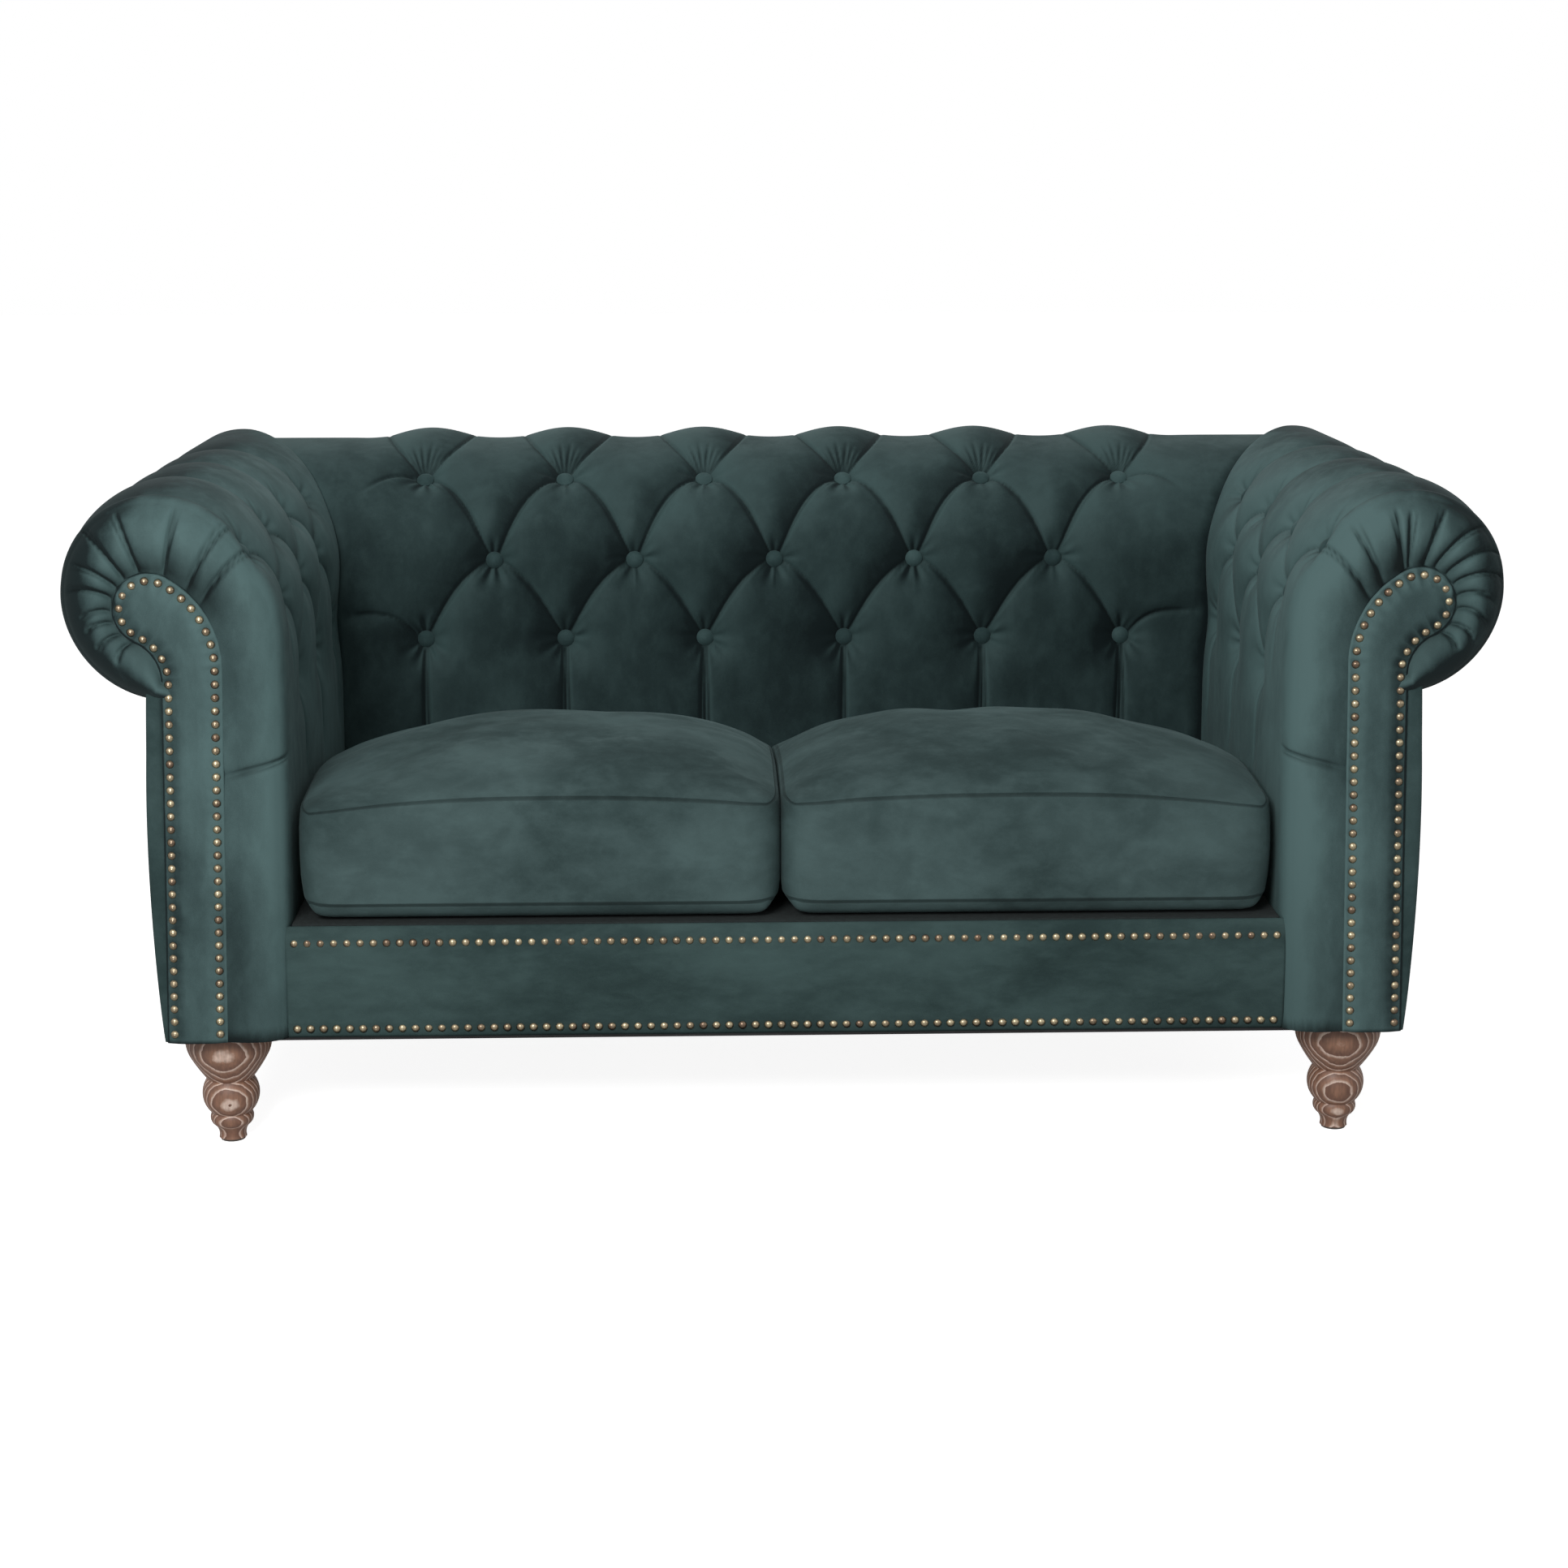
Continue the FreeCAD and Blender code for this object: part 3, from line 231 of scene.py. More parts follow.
class Padding:
    """A grid of points on a padded surface that pits, pleats and folds press into.

    place turns steps in its flattened cloth into points of the plain surface."""

    def __init__(self, points, place, outward=1):
        self.place = place
        self.shape = points.shape[:2]
        along = np.gradient(points, axis=0)
        across = np.gradient(points, axis=1)
        normals = outward * np.cross(along, across)
        normals /= np.linalg.norm(normals, axis=2, keepdims=True) + 1e-12
        self.points = points.reshape(-1, 3)
        self.normals = normals.reshape(-1, 3)
        self.deep = np.zeros(len(self.points))
        self.fine = np.zeros(len(self.points))
        # painted shade: how much the velvet is darkened at each point
        self.shade = np.zeros(len(self.points))

    def near(self, path, reach):
        """Numbers of the points in a box round a path."""
        low, high = path.min(axis=0) - reach, path.max(axis=0) + reach
        return np.flatnonzero(((self.points > low) & (self.points < high)).all(axis=1))

    def measure(self, path, reach):
        """Points within reach of a path, their distance to it and their share along it."""
        chosen = self.near(path, reach)
        points = self.points[chosen]
        best = np.full(len(points), 1e3)
        share = np.zeros(len(points))
        for i in range(len(path) - 1):
            step = path[i + 1] - path[i]
            along = np.clip((points - path[i]) @ step / (step @ step), 0, 1)
            distance = np.linalg.norm(points - path[i] - along[:, None] * step, axis=1)
            closer = distance < best
            best[closer] = distance[closer]
            share[closer] = (i + along[closer]) / (len(path) - 1)
        kept = best < reach
        return chosen[kept], best[kept], share[kept]

    def pit(self, place, depth, spread_out):
        """Presses a button's pit, deep and steep at the button and wide around it."""
        chosen = self.near(place[None, :], 0.12)
        distance = np.linalg.norm(self.points[chosen] - place, axis=1)
        sunk = depth * np.exp(-(distance / spread_out) ** 1.15)
        self.deep[chosen] += sunk ** 3
        # painted shade darkens the velvet close round the button
        self.shade[chosen] = np.maximum(self.shade[chosen], np.exp(-(distance / 0.012) ** 2))

    def valley(self, path, depth, width, taper=(1.0, 1.0)):
        """Presses the wide hollow in which a pleat lies."""
        chosen, distance, share = self.measure(path, 4.5 * width)
        depth = depth * (taper[0] + (taper[1] - taper[0]) * share)
        self.deep[chosen] += (depth * np.exp(-(distance / width) ** 1.2)) ** 3

    def crease(self, path, depth, width, ends=(0.0, 0.0), dark=0.8):
        """Folds a narrow crease and paints shade along it, dark at its line; ends are the shares
        over which it fades in and out.
        """
        chosen, distance, share = self.measure(path, 5 * width)
        fade = np.ones(len(share))
        if ends[0] > 0:
            fade *= smooth_step(0, ends[0], share)
        if ends[1] > 0:
            fade *= 1 - smooth_step(1 - ends[1], 1, share)
        near = fade * np.exp(-(distance / width) ** 1.3)
        self.fine[chosen] = np.maximum(self.fine[chosen], depth * near)
        self.shade[chosen] = np.maximum(self.shade[chosen], dark * near)

    def gathers(self, place, up, folds, turn):
        """Small folds that radiate from a button."""
        height, reach, start = 0.0017, 0.018, 0.016
        chosen = self.near(place[None, :], 0.07)
        offset = self.points[chosen] - place
        distance = np.linalg.norm(offset, axis=1)
        side = np.cross(self.normals[chosen], up)
        angle = np.arctan2((offset * side).sum(axis=1), offset @ up) + turn
        wave = np.cos(folds * angle) * (0.6 + 0.4 * np.cos(angle * 2.3 + turn))
        self.fine[chosen] += height * wave * np.exp(-((distance - start) / reach) ** 2)

    def press(self, start, end, bow=0.0, hollow=None, line=None):
        """Presses a valley, a crease or both along a path in the flattened cloth."""
        path = self.place(arched_path(start, end, bow))
        if hollow:
            self.valley(path, *hollow)
        if line:
            self.crease(path, *line)

    def tuft(self, rows, lengths, pitch, first_numbers, turn, folds, pit_width,
             bow, tuck, inset, rise, hollow, line, second):
        """Presses in each button with its gathers, and a pleat to each neighbour in the row below.

        A pleat runs from below one button to the side of the next, with the tuck's second line."""
        for row, xs in rows.items():
            for number, x in enumerate(xs, first_numbers[row]):
                middle = self.place((x, lengths[row]))[0]
                self.pit(middle, 0.027, pit_width)
                up = np.subtract(*self.place([(x, lengths[row] + 0.004), (x, lengths[row])]))
                self.gathers(middle, up / np.linalg.norm(up), folds, turn * number)
        for upper, lower in (("high", "mid"), ("mid", "low")):
            for x in rows[upper]:
                for side, foot in ((-1, x - pitch / 2), (1, x + pitch / 2)):
                    if min(abs(foot - other) for other in rows[lower]) > 0.01:
                        continue
                    start = (x + side * inset, lengths[upper] - 0.003)
                    end = (foot - side * 0.006, lengths[lower] + rise)
                    self.press(start, end, side * bow, hollow, line)
                    self.press(start, end, side * (bow - tuck), line=second)

    def pressed(self, extra):
        """The grid of points pushed in along their normals by everything pressed so far."""
        depth = self.deep ** (1 / 3) + self.fine + extra
        moved = self.points - self.normals * depth[:, None]
        return moved.reshape(self.shape + (3,))


def grid_form(rows, painted_shades, merge):
    """A mesh grid through rows of points, with how much painted shade darkens each point."""
    last_row, last_point = rows.shape[0] - 1, rows.shape[1] - 1
    form = bmesh.new()
    # the layer holds the painted shade that the velvet is darkened by
    folds = form.verts.layers.float.new("painted_shade")
    grid = bmesh.ops.create_grid(form, x_segments=last_row, y_segments=last_point, size=1.0)
    for vertex in grid["verts"]:
        row = round((vertex.co.x + 1) / 2 * last_row)
        point = round((vertex.co.y + 1) / 2 * last_point)
        vertex.co = rows[row, point]
        vertex[folds] = painted_shades[row, point]
    bmesh.ops.remove_doubles(form, verts=form.verts, dist=merge)
    return form


def closed(name, form):
    """Fills the open rims of a form and finishes it."""
    rims = [edge for edge in form.edges if edge.is_boundary]
    bmesh.ops.holes_fill(form, edges=rims, sides=0)
    bmesh.ops.recalc_face_normals(form, faces=form.faces)
    return finished(name, form)


def closed_tube(name, skin, rear_wall, shade):
    """Closes a grid of padding with its rear wall and two end caps.

    skin holds a row of surface points for each ring, rear_wall the few points that lead from
    the last point of each ring back to its first, and shade how much painted shade darkens
    each point."""
    rows = np.concatenate([skin, rear_wall, skin[:, :1]], axis=1)
    painted_shades = np.zeros(rows.shape[:2])
    painted_shades[:, :skin.shape[1]] = shade.reshape(skin.shape[:2])
    return closed(name, grid_form(rows, painted_shades, 1e-5))


def dress(piece, node, paint, body="sofa_frame"):
    """Lets a padded piece stand for its CAD node, on its body."""
    piece.data.materials.append(paint)
    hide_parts(node)
    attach(piece, body)


def blend(tree, way, share, base, over):
    """Two colours, the second laid over the first in the given way."""
    return add_node(tree, "Mix", {0: share, 6: base, 7: over}, data_type="RGBA",
                    blend_type=way).outputs[2]


def nap_group():
    """Velvet's nap: brushed patches, crushed streaks and fine pile, with painted light by the way
    a face turns and painted shade where the mesh marks it.
    """
    group = bpy.data.node_groups.new("velvet_nap", "ShaderNodeTree")
    for name, kind, default in (("Dark", "Color", (0.01, 0.03, 0.03, 1)),
                                ("Light", "Color", (0.05, 0.1, 0.1, 1)),
                                ("Streak", "Vector", (1, 1, 1)), ("PaintedLightFacing", "Vector", (0, -1, 0)),
                                ("Contrast", "Float", 0.0), ("Level", "Float", 0.5),
                                ("Patches", "Float", 0.5), ("PaintedShade", "Float", 0.0)):
        socket = group.interface.new_socket(name, in_out="INPUT", socket_type="NodeSocket" + kind)
        socket.default_value = default
    for name, kind in (("Color", "Color"), ("Roughness", "Float"), ("Height", "Float")):
        group.interface.new_socket(name, in_out="OUTPUT", socket_type="NodeSocket" + kind)
    given = group.nodes.new("NodeGroupInput").outputs
    result = group.nodes.new("NodeGroupOutput")
    place = add_node(group, "TexCoord").outputs

    def noise(vector, scale, detail, roughness, distortion):
        return add_node(group, "TexNoise", {"Vector": vector, "Scale": scale, "Detail": detail,
                                            "Roughness": roughness,
                                            "Distortion": distortion}).outputs[0]

    def ranged(*terms):
        return add_node(group, "MapRange", dict(enumerate(terms)),
                        interpolation_type="SMOOTHSTEP").outputs[0]

    def reckon(operation, *terms):
        return add_node(group, "Math", dict(enumerate(terms)), operation=operation).outputs[0]

    cloth = add_node(group, "VectorMath", {0: place["Object"], 1: given["Streak"]},
                     operation="MULTIPLY").outputs[0]
    brushed = ranged(noise(cloth, 4.5, 3, 0.55, 0.2), 0.34, 0.68, 0.0, 1.0)
    smudged = ranged(noise(cloth, 15.0, 5, 0.62, 0.25), 0.38, 0.70, 0.0, 1.0)
    crushed = ranged(noise(cloth, 60.0, 3, 0.65, 0.2), 0.35, 0.75, 0.0, 1.0)
    pile = noise(place["Object"], 1300.0, 2, 0.6, 0.0)
    worn = reckon("MULTIPLY_ADD", brushed, 0.5, -0.42)
    worn = reckon("MULTIPLY_ADD", smudged, 0.32, worn)
    worn = reckon("MULTIPLY_ADD", crushed, 0.18, worn)
    share = reckon("MULTIPLY_ADD", worn, given["Patches"], 0.5)
    # painted light: the colour is lighter where the surface faces the given direction and darker
    # where it faces away
    facing_painted_light = add_node(group, "VectorMath", {0: place["Normal"], 1: given["PaintedLightFacing"]},
                       operation="DOT_PRODUCT").outputs["Value"]
    turned = reckon("MULTIPLY", reckon("SUBTRACT", facing_painted_light, given["Level"]), given["Contrast"])
    share = reckon("ADD", share, reckon("MAXIMUM", turned, -0.56))
    share = reckon("MULTIPLY_ADD", reckon("SUBTRACT", pile, 0.5), 0.35, share)
    colour = blend(group, "MIX", share, given["Dark"], given["Light"])
    # painted shade marked on the mesh darkens the colour towards a deep green
    dimmed = blend(group, "MULTIPLY", reckon("MULTIPLY", given["PaintedShade"], 0.62), colour,
                   (0.12, 0.16, 0.16, 1))
    feed(group, result, {"Color": dimmed, "Roughness": ranged(share, 0.2, 0.8, 0.92, 0.74),
                         "Height": reckon("MULTIPLY_ADD", crushed, 0.5, pile)})
    return group


velvet_nap = nap_group()


def velvet(name, dark, light, streak=(1.0, 1.0, 1.0), patches=0.9,
           lean=(0.0, -1.0, 0.0), painted_light_strength=0.0, level=0.5):
    """A velvet whose nap lies darkest at dark and lightest at light. Light is painted on: it is
    lighter where it faces the lean direction and darker where it faces away, and painted shade
    darkens it."""
    paint, tree, shader = new_paint(name)
    # the mesh's layer of painted shade
    painted_shade = add_node(tree, "Attribute", attribute_name="painted_shade")
    nap = add_node(tree, "Group", {"Dark": (*dark, 1), "Light": (*light, 1), "Streak": streak,
                                   "Patches": patches, "PaintedLightFacing": lean, "Contrast": painted_light_strength,
                                   "Level": level, "PaintedShade": painted_shade.outputs["Fac"]},
                   node_tree=velvet_nap).outputs
    bump = add_node(tree, "Bump", {"Strength": 0.25, "Distance": 0.0006, "Height": nap["Height"]})
    feed(tree, shader, {"Base Color": nap["Color"], "Roughness": nap["Roughness"],
                        "Normal": bump.outputs["Normal"], "Specular IOR Level": 0.2,
                        "Sheen Weight": 0.06, "Sheen Roughness": 0.35,
                        "Sheen Tint": (0.55, 0.8, 0.8, 1)})
    return paint


# In plan the mitre of back and arm runs through both corners, and then out at 45 degrees
mitre_x, mitre_y = zip(2 * inner_corner - corner, corner, corner + Vector((0.5, 0.5)))


def mitre_half_width(y):
    """Half width of the back at a depth, out to its mitres with the arms."""
    return np.interp(y, mitre_y, mitre_x)


mitre_overlap = 0.016           # the pads press into each other, so that no timber shows


def mitre_rounding(distance):
    """How far the padding rounds away at a mitre, a distance from it."""
    radius, depth = 0.030, 0.014
    share = np.clip(1 - distance / radius, 0, 1)
    return depth * (1 - np.sqrt(np.maximum(1 - share ** 2, 0)))


back_stops = back_form.stop_after(spread(
    (0.0, 0.030), (back_form.length_up(0.470), 0.0026),
    (back_form.length_at(2.35), 0.008), (back_form.length_at(4.0), 1.0)))
half_turns = spread((-1.0, 0.0031), (1.0, 1.0))
back_y, back_z = back_form.point(back_stops)
half_width = mitre_half_width(back_y) + mitre_overlap * (1 - smooth_step(2.2, 2.9, back_stops))
surface = points_at(half_turns[:, None] * half_width, back_y, back_z)


def back_place(flat):
    """Point of the plain back at x and a length along its section from the foot."""
    flat = np.atleast_2d(flat)
    y, z = back_form.point(back_form.stop_after(flat[:, 1]))
    return np.stack([flat[:, 0], y, z], axis=1)


back_row = {name: back_form.length_up(z) for name, z in back_row_z.items()}
outer_x = (back_button_columns - 1) / 2 * back_button_pitch
even_xs = [i * back_button_pitch - outer_x for i in range(back_button_columns)]
row_x = {"high": even_xs, "mid": [x + back_button_pitch / 2 for x in even_xs[:-1]], "low": even_xs}


back_padding = Padding(surface, back_place)
back_padding.tuft(row_x, back_row, back_button_pitch, {"high": 0, "mid": 0, "low": 0}, turn=0.7,
                  folds=9, pit_width=0.031, bow=0.075, tuck=0.026, inset=0.013, rise=0.007,
                  hollow=(0.0112, 0.026), line=(0.0034, 0.0015),
                  second=(0.0022, 0.0016, (0.15, 0.15), 0.55))

# Above the high row each pleat opens over the roll, with a fan of gathers between the two
high, low, crest = back_row["high"], back_row["low"], back_form.length_at(2.35)
high_fan = ((-0.62, 0.050, 0.0020), (-0.36, 0.062, 0.0026), (-0.12, 0.070, 0.0024),
            (0.14, 0.066, 0.0028), (0.34, 0.058, 0.0022), (0.58, 0.048, 0.0020))
for x in row_x["high"]:
    for side in (-1, 1):
        back_padding.press((x + side * 0.006, high + 0.008), (x + side * 0.066, crest),
                           side * -0.08, (0.0100, 0.022, (1.0, 0.0)),
                           (0.0034, 0.0016, (0.0, 0.4), 0.9))
    for lean, reach, depth in high_fan:
        start = (x + lean * 0.012, high + 0.010)
        back_padding.press(start, (x + lean * reach, start[1] + reach),
                           line=(depth, 0.0016, (0.02, 0.7), 0.65))

# Below the low row the velvet is folded straight down to the seat
two_folds = ((-0.0022, 0.0036), (0.0026, 0.0034))
three_folds = ((-0.0048, 0.0030), (0.0, 0.0034), (0.0048, 0.0028))
seat_length = back_form.length_at(0.35)
for number, x in enumerate(row_x["low"]):
    for offset, depth in (two_folds, three_folds)[number % 3 > 0]:
        back_padding.press((x + offset * 0.6, low - 0.012), (x + offset * 1.3, seat_length),
                           line=(depth, 0.0016, (0.04, 0.1), 0.7))
    back_padding.press((x, low), (x, seat_length), hollow=(0.0068, 0.017, (1.0, 0.75)))

# The outermost buttons pull short pleats towards the arms
for side in (-1, 1):
    x = side * outer_x
    back_padding.press((x + side * 0.016, high + 0.001), (x + side * 0.088, high - 0.040),
                       side * 0.10, (0.0050, 0.015, (1.0, 0.2)),
                       (0.0030, 0.0022, (0.0, 0.6), 0.6))
    back_padding.press((x + side * 0.012, low + 0.004), (x + side * 0.100, low + 0.036),
                       side * 0.16, (0.0065, 0.016, (1.0, 0.7)),
                       (0.0036, 0.0022, (0.0, 0.2), 0.7))

flat_x = back_padding.points[:, 0]
stop_grid = np.broadcast_to(back_stops, back_padding.shape).reshape(-1)
phase = np.cos(2 * math.pi * (flat_x - row_x["mid"][0]) / back_button_pitch)
column = np.where(np.abs(flat_x) > outer_x + back_button_pitch / 2, 1.0, 0.5 + 0.5 * phase)
over_roll = smooth_step(1.40, 1.95, stop_grid) * (1 - smooth_step(2.5, 3.4, stop_grid))
dip = back_roll_valley * column * over_roll
to_mitre = np.broadcast_to(half_width, back_padding.shape).reshape(-1) - np.abs(flat_x)
skin = back_padding.pressed(dip + mitre_rounding(to_mitre))

back_under_z = float(back_form.point(4.0)[1])
back_wall_y = 0.1984
rear_corners = ((0.290, back_under_z), (back_wall_y, back_under_z), (back_wall_y, 0.274))
rear = np.stack([points_at(half_turns * mitre_half_width(y), y, z) for y, z in rear_corners],
                axis=1)
# The back's velvet is darker than the arms', for its nap and as painted shade, and painted light
# makes faces turned left and up lighter and those turned right darker.
back_velvet = velvet("back_velvet", (0.0045, 0.0110, 0.0120), (0.042, 0.079, 0.079),
                     streak=(1.0, 1.0, 0.7), patches=0.55, lean=(-1.0, 0.0, 0.25),
                     painted_light_strength=1.15, level=0.10)
back_pad = closed_tube("inside_back_velvet", skin, rear, back_padding.shade)
dress(back_pad, "inside_back_pad", back_velvet)

# Each inside arm is padded over webbing, buttoned in three rows and rolled over the arm rail.
# At its front the velvet is gathered in radial pleats round the scroll and rounds over into
# the nailed facing.

arm_button_first_y = -0.395
arm_button_pitch = 0.165
arm_row_z = {"low": 0.562, "mid": 0.676, "high": 0.752}
arm_fall = 0.014
arm_front_y, arm_back_y = -0.450, 0.328
dome_depth = 0.050
neck_in_x, neck_out_x, neck_lean = 0.673, 0.727, 0.014
neck_middle_x = (neck_in_x + neck_out_x) / 2
nose_x, nose_z, nose_radius = 0.746, 0.680, 0.034
sweep_radius, hollow_radius = 0.112, 0.060
nail_margin = 0.009
body_bottom_z = 0.150
arm_form = RolledForm(face=0.594, foot=0.603, foot_z=body_bottom_z, shoulder_z=0.640,
                      top_z=0.820, axis=0.737, axis_z=0.698, under=0.133, end=0.750)
sweep_x = neck_in_x + sweep_radius
sweep_z = nose_z - math.sqrt((sweep_radius - nose_radius) ** 2 - (sweep_x - nose_x) ** 2)
hollow_x = neck_out_x + hollow_radius
hollow_z = nose_z - math.sqrt((hollow_radius + nose_radius) ** 2 - (hollow_x - nose_x) ** 2)
sweep_turn = math.degrees(math.atan2(nose_z - sweep_z, nose_x - sweep_x))
hollow_turn = math.degrees(math.atan2(nose_z - hollow_z, nose_x - hollow_x))


def scroll_point(s, grow):
    """Point of the scroll that answers to a stop of the arm's section, outside the nails."""
    s = np.asarray(s, float)
    sweep = np.radians(180 + (sweep_turn - 180) * (s - 1) / 0.8)
    nose = np.radians(sweep_turn + (hollow_turn - 180 - sweep_turn) * (s - 1.8) / 1.7)
    hollow = np.radians(hollow_turn + (180 - hollow_turn) * (s - 3.5) / 0.5)
    arcs = ((sweep_x, sweep_z, sweep_radius + grow, sweep),
            (nose_x, nose_z, nose_radius + grow, nose),
            (hollow_x, hollow_z, hollow_radius - grow, hollow))
    parts = [s <= 1, s <= 1.8, s <= 3.5, s <= 4]
    x = np.select(parts, [neck_in_x - grow + neck_lean * (1 - s)]
                  + [middle + radius * np.cos(turn) for middle, _, radius, turn in arcs],
                  neck_out_x + grow + neck_lean * (s - 4))
    z = np.select(parts, [body_bottom_z + (sweep_z - body_bottom_z) * s]
                  + [middle + radius * np.sin(turn) for _, middle, radius, turn in arcs],
                  hollow_z - (s - 4) * (hollow_z - body_bottom_z))
    return x, z


def arm_end_y(x):
    """Where the arm ends at its mitre with the back."""
    return np.interp(x, mitre_x, mitre_y)


def arm_surface(s, depth, y):
    """Plain arm at stop s; depth is its share of the front dome, 1 at the nails, 0 behind."""
    s, depth, y = np.broadcast_arrays(np.asarray(s, float), depth, y)
    power = 4.0 + (2.3 - 4.0) * np.clip(s - 1, 0, 1)
    share = np.maximum(1 - depth ** power, 0) ** (1 / power)
    bulge = 0.003 + 0.007 * smooth_step(1.2, 1.9, s)
    ahead = bulge * np.sin(math.pi * np.clip(share / 0.85, 0, 1)) ** 0.8
    fall = arm_fall * (y - arm_front_y) / (arm_back_y - arm_front_y)
    full_x, full_z = arm_form.point(s, fall)
    near_x, near_z = scroll_point(s, nail_margin)
    return points_at(near_x + (full_x - near_x) * share, y - ahead,
                     near_z + (full_z - near_z) * share)


arm_row = {name: arm_form.length_up(z) for name, z in arm_row_z.items()}
arm_stops = arm_form.stop_after(spread(
    (0.0, 0.020), (arm_form.length_up(0.485), 0.0022), (arm_form.length_up(0.520), 0.0030),
    (arm_form.length_at(3.75), 0.008), (arm_form.length_at(4.0), 1.0)))
dome_turns = np.radians(np.linspace(90, 0, 43)[:-1])
body_shares = spread((0.0, 0.0050), (1.0, 1.0))
end_y = arm_end_y(arm_form.point(arm_stops)[0])
arm_run = end_y + mitre_overlap * (1 - smooth_step(2.2, 2.9, arm_stops)) - arm_button_first_y
arm_rings = np.array(
    [arm_surface(arm_stops, depth, arm_button_first_y - dome_depth * depth)
     for depth in np.sin(dome_turns)]
    + [arm_surface(arm_stops, 0.0, arm_button_first_y + arm_run * share) for share in body_shares])
ring_shares = np.concatenate([np.cos(dome_turns), np.ones(len(body_shares))])


def arm_place(flat):
    """Point of the plain arm at y and a length along its section, behind the dome."""
    flat = np.atleast_2d(flat)
    return arm_surface(arm_form.stop_after(flat[:, 1]), 0.0, flat[:, 0])


def dome_place(stops, turns):
    """Point of the dome at a stop and a turn, 90 degrees at the nails and 0 behind the dome."""
    depth = np.sin(np.radians(turns))
    return arm_surface(stops, depth, arm_button_first_y - dome_depth * depth)


# Radial pleats round each scroll: stop at the nails, stop further out, and how far out it runs
head_pleats = {
    "right": ((1.50, 1.40, 4), (1.64, 1.60, 44), (1.84, 1.88, 46), (1.91, 1.97, 50),
              (2.12, 2.24, 42), (2.27, 2.60, 22), (2.46, 2.84, 16), (2.63, 3.00, 20),
              (2.80, 3.12, 42), (2.98, 3.26, 46), (3.20, 3.40, 56), (3.36, 3.52, 64)),
    "left": ((1.50, 1.40, 4), (1.64, 1.55, 16), (1.86, 1.88, 38), (2.20, 2.28, 36),
             (2.42, 2.60, 8), (2.58, 2.76, 40), (2.74, 2.98, 40), (2.92, 3.14, 56),
             (3.08, 3.28, 54), (3.26, 3.42, 56), (3.44, 3.60, 64))}


def padded_arm(side):
    """Presses the pits, pleats and gathers of one arm into its plain surface."""
    padding = Padding(arm_rings, arm_place, outward=-1)
    columns = [arm_button_first_y + i * arm_button_pitch for i in range(4)]
    middles = [y + arm_button_pitch / 2 for y in columns[:-1]]
    padding.tuft({"high": columns, "low": columns[1:], "mid": middles}, arm_row, arm_button_pitch,
                 {"high": 0, "low": 4, "mid": 7}, turn=0.9, folds=8, pit_width=0.028, bow=0.08,
                 tuck=0.028, inset=0.011, rise=0.006, hollow=(0.0115, 0.024),
                 line=(0.0036, 0.0016), second=(0.0020, 0.0016, (0.15, 0.15), 0.5))
    high, mid, low = arm_row["high"], arm_row["mid"], arm_row["low"]
    # a groove runs from each high button outward over the roll
    for y in columns:
        padding.press((y, high + 0.010), (y + 0.004, arm_form.length_at(2.9)), 0.02,
                      (0.0130, 0.028, (1.0, 0.45)),
                      (0.0030, 0.0022, (0.0, 0.75), 0.6) if y > columns[0] else None)
        for lean in (-0.16, 0.13):
            padding.press((y + lean * 0.05, high + 0.012), (y + lean * 0.16, high + 0.067),
                          lean * 0.5, line=(0.0022, 0.0018, (0.05, 0.6), 0.5))
    # below the low row the velvet is folded straight down to the seat
    seat = arm_form.length_at(0.6)
    for y in columns[1:]:
        padding.press((y, low), (y, seat), hollow=(0.0062, 0.016, (1.0, 0.7)))
        for offset in (-0.002, 0.0026):
            padding.press((y + offset, low - 0.012), (y + offset * 1.4, seat),
                          line=(0.0032, 0.0016, (0.04, 0.1), 0.7))
    # the first middle button pulls a soft fold down and forward into the front pad
    padding.press((middles[0] - 0.010, mid - 0.006), (middles[0] - 0.020, mid - 0.110), -0.06,
                  (0.0060, 0.016, (1.0, 0.1)), (0.0026, 0.0022, (0.0, 0.7), 0.5))
    steps = np.linspace(0, 1, 16)
    for number, (near, far, reach) in enumerate(head_pleats[side]):
        stops = near + (far - near) * steps
        turns = 90 + (reach - 90) * steps
        path = dome_place(stops, turns)
        padding.valley(path, 0.0046, 0.009, (1.0, 0.2))
        padding.crease(path, 0.0042, 0.0015, (0.02, 0.3), 1.0)
        shift = 0.035 if number % 2 else -0.030
        path = dome_place(stops + shift * (0.4 + steps), turns)
        padding.crease(path, 0.0024, 0.0013, (0.02, 0.5), 0.75)
    # a level pleat, its second line just under it, crosses the front pad at the seat
    level = arm_form.stop_at(0.5) - 0.004 * np.sin(np.linspace(0, math.pi, 20))
    turns = np.linspace(90, 8, 20)
    for drop, depth in ((0.0, 0.0036), (-0.009, 0.0016)):
        padding.crease(dome_place(level + drop, turns), depth, 0.0019, (0.02, 0.25), 0.8)
    padding.valley(dome_place(level, turns), 0.0035, 0.012, (1.0, 0.3))
    # the velvet is drawn in where it meets the nails, and painted shade darkens it along them
    ring_turn = np.concatenate([np.degrees(dome_turns), np.zeros(len(body_shares))])
    nail_shade = smooth_step(70, 92, ring_turn)[:, None] * smooth_step(1.15, 1.5, arm_stops)[None, :]
    padding.shade = np.maximum(padding.shade, 0.8 * nail_shade.reshape(-1))
    to_end = np.concatenate([np.ones((len(dome_turns), len(arm_stops))),
                             arm_run[None, :] * (1 - body_shares[:, None])])
    return padding, padding.pressed(mitre_rounding(to_end.reshape(-1)))


